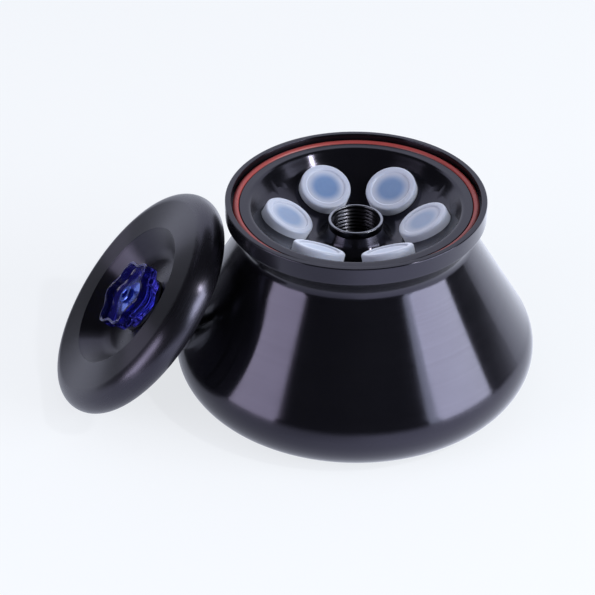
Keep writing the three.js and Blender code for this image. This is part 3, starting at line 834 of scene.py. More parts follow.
def cap_polypropylene():
    """Translucent bluish polypropylene: the thin middle lets the dark inside show, so it is bluer
    and darker than the thick rim, and a soft mottle runs through it."""
    finish, tree, shader = new_finish("cap polypropylene")
    radius, _, _ = own_place(tree)
    outer = ramp(tree, radius, *CAP_THIN_TO_THICK, "SMOOTHSTEP")
    middle = mixed(tree, cloudy(tree, 0.12), (0.012, 0.075, 0.21), (0.05, 0.13, 0.29))
    rim = mixed(tree, cloudy(tree, 0.1), (0.29, 0.31, 0.39), (0.34, 0.36, 0.44))
    tree.links.new(mixed(tree, outer, middle, rim), shader.inputs["Base Color"])
    shader.inputs["Roughness"].default_value = 0.38
    shader.inputs["Sheen Weight"].default_value = 1.0
    shader.inputs["Sheen Roughness"].default_value = 0.62
    shader.inputs["Sheen Tint"].default_value = (0.84, 0.88, 1.0, 1)
    shader.inputs["Subsurface Weight"].default_value = 0.45
    shader.inputs["Subsurface Radius"].default_value = (0.003, 0.004, 0.005)
    shader.inputs["Subsurface Scale"].default_value = 1.0
    relief(tree, shader, cloudy(tree, 0.8), 2e-5)
    return finish


def bottle_polypropylene():
    """Natural polypropylene: cloudy and see-through."""
    finish, tree, shader = new_finish("bottle polypropylene")
    shade = mixed(tree, cloudy(tree, 0.08), (0.74, 0.80, 0.87), (0.86, 0.90, 0.95))
    tree.links.new(shade, shader.inputs["Base Color"])
    shader.inputs["Transmission Weight"].default_value = 0.55
    shader.inputs["Roughness"].default_value = 0.3
    shader.inputs["IOR"].default_value = POLYPROPYLENE_INDEX
    relief(tree, shader, cloudy(tree, 0.5), 2e-5)
    return finish


def knob_acrylic():
    """Clear blue acrylic, polished, with faint flow lines from moulding. The thin web over the
    spindle takes up less light than the thick walls, so it is lighter."""
    finish, tree, shader = new_finish("knob acrylic")
    radius, _, _ = own_place(tree)
    web = ramp(tree, radius, *KNOB_THICK_TO_THIN, "SMOOTHSTEP")
    thick = mixed(tree, cloudy(tree, 0.06), (0.031, 0.028, 0.29), (0.046, 0.042, 0.42))
    thin = mixed(tree, cloudy(tree, 0.06), (0.42, 0.52, 1.0), (0.50, 0.60, 1.0))
    tree.links.new(mixed(tree, web, thick, thin), shader.inputs["Base Color"])
    shader.inputs["Transmission Weight"].default_value = 0.95
    shader.inputs["Roughness"].default_value = 0.03
    shader.inputs["IOR"].default_value = ACRYLIC_INDEX
    relief(tree, shader, cloudy(tree, 0.12), 1.5e-5)
    return finish


body_black = matter_within(
    anodised("body black", (0.002, 0.002, 0.003), (0.0035, 0.0035, 0.0045), rough_low=0.14, rough_high=0.2,
             mark_scale=2.2, mark_depth=1.2e-5, spread=0.9, shine=0.52),
    DISH_EDGE + 3, HUB_TOP - 10, matt=0.22, spread=0.8)
lid_black = matter_within(
    anodised("lid black", (0.0025, 0.0025, 0.0035), (0.004, 0.004, 0.005), rough_low=0.25, rough_high=0.31,
             mark_scale=1.6, mark_depth=1.2e-5, spread=0.85, shine=0.72),
    LID_RADIUS - LID_EDGE + 1, BOWL_FLOOR + 0.4, matt=0.33, spread=1.0)
bright_steel = steel("bright steel", (0.70, 0.71, 0.73), (0.52, 0.53, 0.55), 0.16, 0.34)
spindle_steel = steel("spindle steel", (0.74, 0.75, 0.77), (0.66, 0.67, 0.69), 0.03, 0.07, mark_depth=1e-6)
blued_steel = steel("blued steel", (0.11, 0.17, 0.66), (0.08, 0.13, 0.54), 0.16, 0.3, edge=0.6)
dark_steel = blackened("blackened steel")
# The bush's top edge carries a painted highlight in its colour
bush_steel = painted_top_highlight(blackened("bush steel"), (0.40, 0.41, 0.46), HUB_TOP)
seal_red = rubber("seal red", (0.215, 0.028, 0.027), (0.275, 0.040, 0.035), 0.4, 1e-5)
dark_rubber = rubber("dark rubber", (0.012, 0.012, 0.014), (0.022, 0.022, 0.025), 0.7, 3e-5)
liner_foam = rubber("liner foam", (0.80, 0.81, 0.83), (0.88, 0.89, 0.90), 0.6, 3e-5)
cap_plastic = cap_polypropylene()
bottle_plastic = bottle_polypropylene()
knob_blue = knob_acrylic()


# Rotor body


def cone_radius(height):
    """Outer radius of the bell's cone at a height: the bulb's radius, plus the cone's offset, plus the
    way down from the bulb's middle times the tangent of the cone's angle, negative above it."""
    return BULB_RADIUS + CONE_OFFSET + (BULB_HEIGHT - height) * math.tan(CONE_ANGLE)


def dish_line(radius):
    """Height of the dish at a radius, a cone that is square to the bottles: the height at the mouths,
    plus the way out from them times the tangent of the bottles' tilt."""
    return DISH_HEIGHT + (radius - MOUTH_RADIUS) * math.tan(BOTTLE_TILT)


def body_outline():
    """The closed outline of the body without its pockets and magnet seats: along the hollow underneath
    and the base, up the bell, the collar and the rim, in over the ledge and the dish, and down the
    hub's bore."""
    base_outer = cone_radius(SHOULDER_ROUNDING) - SHOULDER_ROUNDING / math.cos(CONE_ANGLE)
    base_inner = base_outer - BASE_WIDTH + BELL_INSET
    return rounded([
        (DRAWBAR_HOLE, WEB_HEIGHT),
        (ADAPTER_RADIUS + SEAT_GAP, WEB_HEIGHT),
        (ADAPTER_RADIUS + SEAT_GAP, BOSS_BOTTOM),
        (BOSS_RADIUS, BOSS_BOTTOM, EDGE_ROUNDING),
        (BOSS_RADIUS, HOLLOW_HEIGHT, HOLLOW_ROUNDING),
        (base_inner - HOLLOW_DRAFT, HOLLOW_HEIGHT, HOLLOW_ROUNDING),
        (base_inner, 0, SOFT_ROUNDING),
        (cone_radius(0), 0, SHOULDER_ROUNDING),
        (cone_radius(NECK_HEIGHT), NECK_HEIGHT, NECK_ROUNDING),
        (RIM_RADIUS - COLLAR_UNDERCUT, COLLAR_BOTTOM - COLLAR_UNDERCUT, COLLAR_ROUNDING),
        (RIM_RADIUS, COLLAR_BOTTOM, COLLAR_ROUNDING),
        (RIM_RADIUS, RIM_HEIGHT, RIM_ROUNDING),
        (LIP_RADIUS, RIM_HEIGHT, EDGE_ROUNDING),
        (LIP_RADIUS, GROOVE_FLOOR),
        (GROOVE_INNER, GROOVE_FLOOR),
        (GROOVE_INNER, LEDGE_HEIGHT, EDGE_ROUNDING),
        (LEDGE_INNER, LEDGE_HEIGHT, LEDGE_ROUNDING),
        (DISH_EDGE, dish_line(DISH_EDGE), LEDGE_ROUNDING),
        (HUB_FOOT, dish_line(HUB_FOOT), HUB_ROUNDING),
        (HUB_RADIUS, BOSS_TOP, FINE_ROUNDING),
        (BORE_RADIUS, BOSS_TOP),
        (BORE_RADIUS, WEB_TOP),
        (DRAWBAR_HOLE, WEB_TOP),
    ])


def split_outline(outline):
    """The dish surface (radius, height) sorted by radius, and the two open profiles that are left
    once the dish and the ring of magnet seats are taken out of the closed outline."""
    radius, height = outline.T
    on_dish = (height > WEB_TOP) & (radius > DISH_IN) & (radius < DISH_OUT)
    dish = np.flatnonzero(on_dish)
    around = outline[np.arange(dish[0] - DISH_SPARE, dish[-1] + DISH_SPARE + 1)]
    dish_shape = around[np.argsort(around[:, 0])]
    inner_end = (DISH_IN, np.interp(DISH_IN, *dish_shape.T))
    outer_end = (DISH_OUT, np.interp(DISH_OUT, *dish_shape.T))
    rest = np.roll(outline, -(dish[-1] + 1), 0)[: len(outline) - len(dish)]
    level = np.abs(rest[:, 1] - HOLLOW_HEIGHT) < TINY
    split = np.flatnonzero(level & (rest[:, 0] > SEATS_OUT))[0]
    inward = np.vstack([inner_end, rest[:split], (SEATS_IN, HOLLOW_HEIGHT)])
    outward = np.vstack([(SEATS_OUT, HOLLOW_HEIGHT), rest[split:], outer_end])
    return dish_shape, inward, outward


def pocket_sector(dish_shape):
    """One bottle's wedge of the dish with its pocket. The pocket's edge is where the cylinder about
    the bottle's axis meets the dish, found by halving along the axis. Straight rows in plan join it
    to the wedge's border, at the dish's height for their radius. Below the edge come a small
    rounding, the cylinder and a half sphere."""
    def dish(plan):
        return np.interp(np.hypot(plan[..., 0], plan[..., 1]), dish_shape[:, 0], dish_shape[:, 1])

    radii = dish_shape[:, 0]
    radii = radii[(radii > DISH_IN + DISH_MARGIN) & (radii < DISH_OUT - DISH_MARGIN)]
    radii = np.unique(np.concatenate([[DISH_IN, DISH_OUT], radii, DISH_RINGS]))
    border = wedge_border(radii, math.pi / BOTTLE_COUNT, SECTOR_STEPS)
    axis = np.array([-math.sin(BOTTLE_TILT), 0, math.cos(BOTTLE_TILT)])
    outward = np.array([math.cos(BOTTLE_TILT), 0, math.sin(BOTTLE_TILT)])
    origin = np.array([BOTTLE_OUT, 0, BOTTLE_UP])
    lifted = np.concatenate([border, dish(border)[:, None]], -1)
    angle = np.arctan2(lifted[:, 1], (lifted - origin) @ outward)
    around = np.cos(angle)[:, None] * outward + np.sin(angle)[:, None] * np.array([0, 1, 0])

    edge = origin + (POCKET_RADIUS + POCKET_EDGE) * around
    low, high = np.full(len(border), POCKET_SEARCH[0]), np.full(len(border), POCKET_SEARCH[1])
    for _ in range(HALVINGS):
        middle = (low + high) / 2
        spot = edge + middle[:, None] * axis
        above = spot[:, 2] > dish(spot)
        low, high = np.where(above, low, middle), np.where(above, middle, high)
    meets = (low + high) / 2
    mouth = edge + meets[:, None] * axis

    rows = between(mouth, lifted, POCKET_ROWS)
    rows[1:-1, :, 2] = dish(rows[1:-1])
    bend = np.radians(np.linspace(0, 90, POCKET_EDGE_STEPS + 1))[:, None]
    ball = np.radians(np.linspace(0, 90, POCKET_BALL_STEPS + 1))[1:, None]
    share = np.array(WALL_SHARES)[:, None]
    along = np.vstack([
        meets - POCKET_EDGE * (1 - np.cos(bend)),
        (meets - POCKET_EDGE) * (1 - share) + POCKET_CENTRE * share,
        POCKET_CENTRE - POCKET_RADIUS * np.sin(ball) + 0 * meets,
    ])
    out = np.vstack([
        POCKET_RADIUS + POCKET_EDGE * (1 - np.sin(bend)),
        POCKET_RADIUS + 0 * share,
        POCKET_RADIUS * np.cos(ball),
    ])
    well = origin + out[..., None] * around + along[..., None] * axis
    return rows, well


def rotor_body():
    """The bell: two turned surfaces, six wedges with pockets, and a ring with the magnet seats."""
    dish_shape, inward, outward = split_outline(body_outline())
    half = math.pi / BOTTLE_COUNT
    grids = [(turned(line, BODY_SIDES, BOTTLE_TURN - half), True, False) for line in (inward, outward)]
    rows, well = pocket_sector(dish_shape)
    for i in range(BOTTLE_COUNT):
        swing = BOTTLE_TURN + i * FULL_TURN / BOTTLE_COUNT
        grids += [(swung(rows, swing), False, True), (swung(well, swing), False, True)]
    grids += pierced_ring(SEATS_IN, SEATS_OUT, HOLLOW_HEIGHT, BOTTLE_COUNT, SECTOR_STEPS, MAGNET_WEDGES,
                          MAGNET_PITCH, MAGNET_RADIUS + SEAT_GAP,
                          HOLLOW_HEIGHT + MAGNET_THICKNESS + 2 * SEAT_GAP, BOTTLE_TURN + half)
    build("rotor_bell", grids, body_black, "rotor", ["rotor_body"], rotor_place)


def seal():
    """The seal ring: a circle of the section's radius about a point in its groove, carried round the
    axis."""
    section = bend_points((SEAL_RADIUS, SEAL_HEIGHT), SEAL_SECTION, 0, 360, SEAL_STEPS)[:-1]
    ring("seal_ring", section, SEAL_SIDES, seal_red, "rotor", "rim_seal_ring", rotor_place)


def thread_bush():
    """The threaded insert: a flanged sleeve whose inside is a helical thread."""
    barrel = BORE_RADIUS - SEAT_GAP
    root = LID_THREAD + THREAD_DEPTH
    bottom = HUB_TOP - BUSH_LENGTH
    flange = BOSS_TOP + SEAT_GAP
    outside = rounded([
        (root, bottom, BUSH_FOOT_ROUNDING),
        (barrel, bottom, EDGE_ROUNDING),
        (barrel, flange),
        (HUB_RADIUS, flange, BUSH_FOOT_ROUNDING),
        (HUB_RADIUS, HUB_TOP, BUSH_OUTER_ROUNDING),
        (root, HUB_TOP, BUSH_INNER_ROUNDING),
    ])
    inside = threaded(root, BUSH_THREAD_DEPTH, bottom + BUSH_THREAD_START, HUB_TOP - BUSH_THREAD_END,
                      LID_PITCH)
    grids = [
        (turned(outside, THREAD_SIDES), True, False),
        (inside, True, False),
        strip(circle(outside[-1], THREAD_SIDES), inside[:, -1]),
        strip(inside[:, 0], circle(outside[0], THREAD_SIDES)),
    ]
    build("hub_thread_bush", grids, bush_steel, "rotor", ["lid_thread_bush"], rotor_place)


def drawbar():
    """The captive screw with its hexagon socket, its washer and the ring above it."""
    washer_bottom = WEB_TOP + SEAT_GAP
    washer_top = washer_bottom + WASHER_THICKNESS
    head_bottom = washer_top + SEAT_GAP
    head_top = head_bottom + DRAWBAR_HEAD_HEIGHT
    low = head_bottom - DRAWBAR_LENGTH
    corner = hexagon_corner(DRAWBAR_SOCKET)
    profile = [
        (0, low, 0),
        (DRAWBAR_RADIUS - CHAMFER, low, 0),
        (DRAWBAR_RADIUS, low + CHAMFER, 0),
        (DRAWBAR_RADIUS, head_bottom, 0),
        (DRAWBAR_HEAD - EDGE_BREAK, head_bottom, 0),
        (DRAWBAR_HEAD, head_bottom + EDGE_BREAK, 0),
        (DRAWBAR_HEAD, head_top - CHAMFER, 0),
        (DRAWBAR_HEAD - CHAMFER, head_top, 0),
        (corner + DRAWBAR_SOCKET_CHAMFER, head_top, 1),
        (corner, head_top - DRAWBAR_SOCKET_CHAMFER, 1),
        (corner, head_top - DRAWBAR_SOCKET_DEPTH, 1),
        (0, head_top - DRAWBAR_SOCKET_DEPTH - DRAWBAR_SOCKET_POINT, 1),
    ]
    solid("drawbar_cap_screw", profile, THREAD_SIDES, bright_steel, "drawbar", "drawbar_screw",
          rotor_place, hexagon)
    plate = washer(DRAWBAR_HOLE, WASHER_RADIUS, washer_bottom, washer_top, FINE_ROUNDING, FINE_ROUNDING)
    ring("drawbar_plate", plate, THREAD_SIDES, bright_steel, "rotor", "drawbar_washer",
         rotor_place)
    keeper = head_top + KEEPER_GAP
    section = washer(KEEPER_HOLE, BORE_RADIUS - SEAT_GAP, keeper, keeper + KEEPER_THICKNESS,
                     EDGE_ROUNDING, FINE_ROUNDING)
    ring("drawbar_keeper", section, THREAD_SIDES, dark_steel, "rotor", "drawbar_keeper_ring",
         rotor_place)


def drive_seat():
    """The adapter: turned surfaces and two pierced rings, for its screws and for its pins."""
    top = WEB_HEIGHT - SEAT_GAP
    socket = top - ADAPTER_CEILING
    first = -math.pi / ADAPTER_WEDGES
    inside = rounded([
        (DRAWBAR_HOLE, top),
        (DRAWBAR_HOLE, socket, FINE_ROUNDING),
        (ADAPTER_CONE_TOP, socket, FINE_ROUNDING),
        (ADAPTER_CONE_MOUTH, ADAPTER_FACE, EDGE_ROUNDING),
        (PIN_RING[0], ADAPTER_FACE),
    ])
    outside = rounded([
        (SCREW_RING[1], ADAPTER_LIFT),
        (ADAPTER_FLANGE, ADAPTER_LIFT, ADAPTER_FOOT_ROUNDING),
        (ADAPTER_FLANGE, ADAPTER_FLANGE_TOP, EDGE_ROUNDING),
        (ADAPTER_RADIUS, ADAPTER_FLANGE_TOP, FINE_ROUNDING),
        (ADAPTER_RADIUS, top, SOFT_ROUNDING),
        (DRAWBAR_HOLE, top),
    ])
    step = [
        (PIN_RING[1], ADAPTER_FACE),
        (ADAPTER_COUNTERBORE, ADAPTER_FACE),
        (ADAPTER_COUNTERBORE, ADAPTER_LIFT + EDGE_ROUNDING),
        (ADAPTER_COUNTERBORE + EDGE_ROUNDING, ADAPTER_LIFT),
        (SCREW_RING[0], ADAPTER_LIFT),
    ]
    grids = [(turned(line, ADAPTER_SIDES, first), True, False) for line in (inside, outside, step)]
    steps = ADAPTER_SIDES // ADAPTER_WEDGES
    grids += pierced_ring(*SCREW_RING, ADAPTER_LIFT, ADAPTER_WEDGES, steps, SCREW_WEDGES, SCREW_PITCH,
                          SCREW_HEAD + SLIDING_GAP, SCREW_HEAD_TOP + SEAT_GAP, 0)
    grids += pierced_ring(*PIN_RING, ADAPTER_FACE, ADAPTER_WEDGES, steps, PIN_WEDGES, PIN_PITCH,
                          PIN_RADIUS + SEAT_GAP, ADAPTER_FACE + PIN_SUNK + SEAT_GAP, 0)
    build("drive_seat", grids, bright_steel, "rotor", ["drive_adapter"], rotor_place)


def at(place, pitch, angle):
    """A placement moved out from the axis by pitch, in the direction of angle."""
    moved = place.copy()
    moved[:3, 3] += place[:3, :3] @ [pitch * MM * math.cos(angle), pitch * MM * math.sin(angle), 0]
    return moved


def underside_hardware():
    """The adapter's cap screws, its drive pins and the magnets, each turned about its own axis."""
    corner = hexagon_corner(SCREW_SOCKET)
    low, top = SCREW_HEAD_BOTTOM, SCREW_HEAD_TOP
    screw = [
        (0, low + SCREW_SOCKET_DEPTH, 1),
        (corner, low + SCREW_SOCKET_DEPTH - EDGE_BREAK, 1),
        (corner, low + EDGE_BREAK, 1),
        (corner + EDGE_BREAK, low, 1),
        (SCREW_HEAD - EDGE_ROUNDING, low, 0),
        (SCREW_HEAD, low + EDGE_ROUNDING, 0),
        (SCREW_HEAD, top, 0),
        (SCREW_SHANK, top, 0),
        (SCREW_SHANK, top + SCREW_LENGTH, 0),
        (0, top + SCREW_LENGTH, 0),
    ]
    for i in range(SCREW_COUNT):
        place = at(rotor_place, SCREW_PITCH, SCREW_TURN + i * FULL_TURN / SCREW_COUNT)
        solid(f"seat_screw_{i + 1}", screw, SCREW_SIDES, dark_steel, "rotor", f"adapter_screw_{i + 1}",
              place, hexagon)
    high = ADAPTER_FACE + PIN_SUNK
    pin = [
        (0, high - PIN_LENGTH),
        (PIN_RADIUS - PIN_TAPER, high - PIN_LENGTH),
        (PIN_RADIUS - PIN_SHOULDER, high - PIN_LENGTH + EDGE_BREAK),
        (PIN_RADIUS, high - PIN_LENGTH + PIN_TAPER_HEIGHT),
        (PIN_RADIUS, high),
        (0, high),
    ]
    for i in range(PIN_COUNT):
        place = at(rotor_place, PIN_PITCH, PIN_TURN + i * FULL_TURN / PIN_COUNT)
        solid(f"seat_pin_{i + 1}", pin, SCREW_SIDES, bright_steel, "rotor", f"drive_pin_{i + 1}",
              place)
    disc = flat_disc(MAGNET_RADIUS, HOLLOW_HEIGHT + SEAT_GAP, MAGNET_THICKNESS, EDGE_BREAK)
    first = BOTTLE_TURN + math.pi / BOTTLE_COUNT
    for i in range(MAGNET_COUNT):
        place = at(rotor_place, MAGNET_PITCH, first + i * FULL_TURN / MAGNET_COUNT)
        solid(f"magnet_{i + 1}", disc, DISC_SIDES, bright_steel, "rotor", f"identity_magnet_{i + 1}",
              place)


# Bottles


def flask(number, place):
    """A bottle: a half sphere, a barrel, a shoulder and a threaded neck turned about its axis, and the
    same again inside, smaller by the wall."""
    inner = BOTTLE_RADIUS - BOTTLE_WALL
    hollow = NECK_RADIUS - NECK_WALL
    outside = np.vstack([
        [(0, 0)],
        bend_points((0, BOTTLE_RADIUS), BOTTLE_RADIUS, -87, 0, BOTTLE_STEPS),
        rounded([
            (BOTTLE_RADIUS, BOTTLE_RADIUS + BARREL_START),
            (BOTTLE_RADIUS, SHOULDER_BOTTOM, BOTTLE_SHOULDER_ROUNDING),
            (NECK_RADIUS, SHOULDER_TOP, BOTTLE_NECK_ROUNDING),
            (NECK_RADIUS, CAP_BOTTOM + NECK_PLAIN),
        ]),
    ])
    crest = NECK_RADIUS + NECK_THREAD_PROUD
    thread = threaded(crest, THREAD_DEPTH, CAP_BOTTOM + NECK_THREAD_START, MOUTH_HEIGHT - NECK_THREAD_END,
                      BOTTLE_PITCH, BOTTLE_SIDES)
    inside = np.vstack([
        rounded([
            (NECK_RADIUS, MOUTH_HEIGHT - LIP_HEIGHT),
            (NECK_RADIUS, MOUTH_HEIGHT, EDGE_ROUNDING),
            (hollow, MOUTH_HEIGHT, EDGE_ROUNDING),
            (hollow, SHOULDER_TOP - INSIDE_DROP),
            (inner, SHOULDER_BOTTOM - INSIDE_DROP, BOTTLE_INSIDE_ROUNDING),
            (inner, BOTTLE_RADIUS),
        ]),
        bend_points((0, BOTTLE_RADIUS), inner, -2, -88, BOTTLE_INSIDE_STEPS),
        [(0, BOTTLE_WALL)],
    ])
    grids = thread_between(outside, thread, inside, BOTTLE_SIDES)
    build(f"flask_{number}", grids, bottle_plastic, f"container_{number}", [f"bottle_{number}"],
          place)


def bottle_set(number):
    """A bottle with its cap, liner and pad, all turned about the bottle's axis."""
    place = bottle_place(number)
    flask(number, place)

    recess = BOTTLE_RADIUS - CAP_RIM_WIDTH
    bore = NECK_RADIUS + THREAD_GAP
    cap = rounded([
        (0, CAP_INSIDE),
        (bore, CAP_INSIDE, EDGE_ROUNDING),
        (bore, CAP_BOTTOM, EDGE_ROUNDING),
        (BOTTLE_RADIUS, CAP_BOTTOM, SOFT_ROUNDING),
        (BOTTLE_RADIUS, BOTTLE_REACH, CAP_EDGE_ROUNDING),
        (recess + CAP_RECESS_DRAFT, BOTTLE_REACH, CAP_LIP_ROUNDING),
        (recess, BOTTLE_REACH - CAP_RECESS, CAP_RECESS_ROUNDING),
        (0, BOTTLE_REACH - CAP_RECESS),
    ])
    solid(f"cap_{number}_top", cap, CAP_SIDES, cap_plastic, f"cap_{number}", f"bottle_cap_{number}",
          place)
    liner = flat_disc(LINER_RADIUS, LINER_BOTTOM, LINER_THICKNESS, FINE_BREAK)
    solid(f"liner_{number}_disc", liner, DISC_SIDES, liner_foam, f"liner_{number}", f"cap_liner_{number}",
          place)
    pad = np.vstack([
        [(0, POCKET_BOTTOM + SEAT_GAP)],
        bend_points((0, POCKET_CENTRE), POCKET_RADIUS - SEAT_GAP, -87, -45, PAD_STEPS),
        bend_points((0, BOTTLE_RADIUS), BOTTLE_RADIUS + SEAT_GAP, -45, -87, PAD_STEPS),
        [(0, -SEAT_GAP)],
    ])
    solid(f"pad_{number}", pad, DISC_SIDES, dark_rubber, "rotor", f"pocket_pad_{number}",
          place)


# Lid


def lid_plate():
    """The lid: flat face with a dished bowl, half-round edge and a grooved back."""
    edge_centre = LID_RADIUS - LID_INSET - LID_EDGE
    flat_end = edge_centre - LID_FLAT_END
    floor_end = BOWL_RADIUS - BOWL_SLOPE
    back = open_rounded([
        (SPINDLE_HOLE, 0, EDGE_ROUNDING),
        (BACK_GROOVE_IN, 0, BACK_GROOVE_ROUNDING),
        (BACK_GROOVE_IN + BACK_GROOVE_DRAFT, BACK_GROOVE_DEPTH, BACK_GROOVE_FLOOR_ROUNDING),
        (BACK_GROOVE_OUT - BACK_GROOVE_DRAFT, BACK_GROOVE_DEPTH, BACK_GROOVE_FLOOR_ROUNDING),
        (BACK_GROOVE_OUT, 0, BACK_GROOVE_ROUNDING),
        (flat_end, 0),
        (edge_centre, 0),
    ], FAR_ABOVE)
    edge = bend_points((edge_centre, LID_EDGE), LID_EDGE, -90, 90, LID_EDGE_STEPS)
    bowl = open_rounded([
        (flat_end, LID_THICKNESS),
        (BOWL_RADIUS + BOWL_EDGE_WIDTH, LID_THICKNESS, SOFT_ROUNDING),
        (BOWL_RADIUS, LID_THICKNESS - BOWL_EDGE_DROP, BOWL_EDGE_ROUNDING),
        (floor_end, BOWL_FLOOR, BOWL_ROUNDING),
        (SPINDLE_HOLE, BOWL_FLOOR, EDGE_ROUNDING),
    ], FAR_BELOW)
    plate = np.vstack([back, edge[1:], bowl])
    ring("lid_plate", plate, LID_SIDES, lid_black, "lid", "lid_disc", lid_place)
    under = washer(SPINDLE_HOLE, THRUST_WASHER, -SEAT_GAP - THRUST_THICKNESS, -SEAT_GAP,
                   FINE_ROUNDING, EDGE_ROUNDING)
    ring("thrust_washer", under, THREAD_SIDES, bright_steel, "lid", "lid_thrust_washer",
         lid_place)
    low = BOWL_FLOOR + SEAT_GAP
    gasket = washer(GASKET_HOLE, KNOB_FOOT, low, low + GASKET_THICKNESS, FINE_ROUNDING, SOFT_ROUNDING)
    ring("knob_seal", gasket, THREAD_SIDES, dark_rubber, "lid", "knob_gasket", lid_place)


def knob():
    """The knob: its outside and its cup follow the lobes, its web and its socket are round. Every
    radius of the lobed part is multiplied by the lobes' radius at its angle."""
    cup = KNOB_RADIUS - KNOB_WALL
    socket = SPINDLE_NECK + SEAT_GAP
    lobed = rounded([
        (SPINDLE_NECK, KNOB_BOTTOM),
        (KNOB_FOOT, KNOB_BOTTOM, KNOB_FOOT_ROUNDING),
        (KNOB_FOOT, KNOB_BOTTOM + KNOB_FOOT_HEIGHT, KNOB_WAIST_ROUNDING),
        (KNOB_RADIUS, KNOB_BOTTOM + KNOB_FLARE_HEIGHT, KNOB_FLARE_ROUNDING),
        (KNOB_RADIUS, KNOB_TOP, KNOB_RIM_ROUNDING),
        (cup, KNOB_TOP, KNOB_RIM_ROUNDING),
        (cup, KNOB_FLOOR, KNOB_FLOOR_ROUNDING),
        (KNOB_WEB, KNOB_FLOOR),
    ])[1:-1]
    plain = rounded([
        (KNOB_WEB, KNOB_FLOOR),
        (KNOB_SCREW_HOLE, KNOB_FLOOR, FINE_ROUNDING),
        (KNOB_SCREW_HOLE, SPINDLE_TOP + SEAT_GAP),
        (socket, SPINDLE_TOP + SEAT_GAP),
        (socket, KNOB_BOTTOM, FINE_ROUNDING),
        (KNOB_FOOT, KNOB_BOTTOM),
    ])[:-1]
    profile = np.vstack([shared(lobed, 1), shared(plain, 0)])
    grip = turned(profile, KNOB_SIDES, KNOB_TURN, lambda angle: lobes(angle - KNOB_TURN))
    build("knob_grip", [(grip, True, True)], knob_blue, "knob", ["lid_knob"], lid_place)


def spindle():
    """The threaded spindle under the knob, and the cap screw that holds the knob on it."""
    crest = LID_THREAD - THREAD_GAP
    root = crest - THREAD_DEPTH
    low = -SPINDLE_REACH
    bore_end = KNOB_SCREW_SEAT - KNOB_SCREW_LENGTH - SEAT_GAP
    tip = rounded([
        (0, low),
        (crest - SPINDLE_TIP_TAPER, low, SPINDLE_TIP_ROUNDING),
        (root, low + SPINDLE_TIP_HEIGHT),
    ])
    thread = threaded(crest, THREAD_DEPTH, low + SPINDLE_THREAD_START, SPINDLE_SHOULDER - SPINDLE_THREAD_END,
                      LID_PITCH)
    neck = open_rounded([
        (root, SPINDLE_SHOULDER, SPINDLE_SHOULDER_ROUNDING),
        (SPINDLE_NECK, SPINDLE_SHOULDER),
        (SPINDLE_NECK, SPINDLE_TOP, EDGE_ROUNDING),
        (KNOB_SCREW_HOLE, SPINDLE_TOP),
        (KNOB_SCREW_HOLE, bore_end),
        (0, bore_end),
    ], FAR_BELOW)
    grids = thread_between(tip, thread, neck, THREAD_SIDES)
    build("lid_spindle", grids, spindle_steel, "knob", ["knob_spindle"], lid_place)

    corner = hexagon_corner(KNOB_SCREW_SOCKET)
    seat, high = KNOB_SCREW_SEAT, KNOB_SCREW_SEAT + KNOB_SCREW_HEAD_HEIGHT
    shank = KNOB_SCREW_HOLE - SEAT_GAP
    screw = [
        (0, seat - KNOB_SCREW_LENGTH, 0),
        (shank - EDGE_BREAK, seat - KNOB_SCREW_LENGTH, 0),
        (shank, seat - KNOB_SCREW_LENGTH + EDGE_BREAK, 0),
        (shank, seat, 0),
        (KNOB_SCREW_HEAD - FINE_BREAK, seat, 0),
        (KNOB_SCREW_HEAD, seat + FINE_BREAK, 0),
        (KNOB_SCREW_HEAD, high - KNOB_SCREW_CHAMFER, 0),
        (KNOB_SCREW_HEAD - KNOB_SCREW_CHAMFER, high, 0),
        (corner + EDGE_BREAK, high, 1),
        (corner, high - EDGE_BREAK, 1),
        (corner, high - KNOB_SCREW_SOCKET_DEPTH, 1),
        (0, high - KNOB_SCREW_SOCKET_DEPTH - KNOB_SCREW_POINT, 1),
    ]
    head = turned(screw, KNOB_SCREW_SIDES, KNOB_TURN, lambda angle: hexagon(angle - KNOB_TURN))
    build("knob_cap_screw", [(head, True, False)], blued_steel, "knob", ["knob_screw"],
          lid_place)


rotor_body()
seal()
thread_bush()
drawbar()
drive_seat()
underside_hardware()
for number in range(1, BOTTLE_COUNT + 1):
    bottle_set(number)
lid_plate()
knob()
spindle()


# Studio, with its places and sizes in metres and its bearings in degrees

PALE = (0.870, 0.897, 0.930)
FLOOR_PLAIN = (0.905, 0.926, 0.958)
FLOOR_PLAIN_SHARE = 0.8
FLOOR_SIZE = 12
FLOOR_DROP = 0.0003
# Span in x over which the floor's glow seen in gloss doubles: a painted pool of light on the right
FLOOR_PAINTED_POOL = (-0.10, 0.14)
GLOSS_PALE = (0.80, 0.84, 0.97)
GLOSS_BACKDROP = (0.96, 1.0, 1.15)
FILL_STRENGTH = 0.58
FILL_COLOUR = (0.90, 0.93, 1.0)
CURTAIN_STRENGTH = 0.03
CURTAIN_COLOUR = (0.9, 0.9, 1.0)
CURTAIN_REACH = 6.0
CURTAIN_TOP = 48
CURTAIN_BEND = math.radians(4)
LEFT_WING_REACH = 0.9
LEFT_WING_SLANT = 0.45
RIGHT_WING_REACH = 1.3
LAMP_DISTANCE = 3.0
SOFTBOX_RISE = (3, 33)
CAMERA_ELEVATION = math.radians(34.626)
CAMERA_ROLL = math.radians(-0.4437)
CAMERA_DISTANCE = 1.5
CAMERA_AIM_LEFT = 0.04273
CAMERA_AIM_HEIGHT = 0.06428
CAMERA_LENS = 121.82
CAMERA_SENSOR = 36
ROTOR_MIDDLE = rotor_place[:3, 3] + [0, 0, 0.08]
LID_MIDDLE = lid_place[:3, 3] + [0, 0, 0.027]


def seen_rays(tree):
    """1 for rays from the camera and for those that gloss and glass send out, or else 0."""
    path = node(tree, "ShaderNodeLightPath")
    gloss = arithmetic(tree, "MAXIMUM", path.outputs["Is Glossy Ray"], path.outputs["Is Transmission Ray"])
    return arithmetic(tree, "MAXIMUM", path.outputs["Is Camera Ray"], gloss)


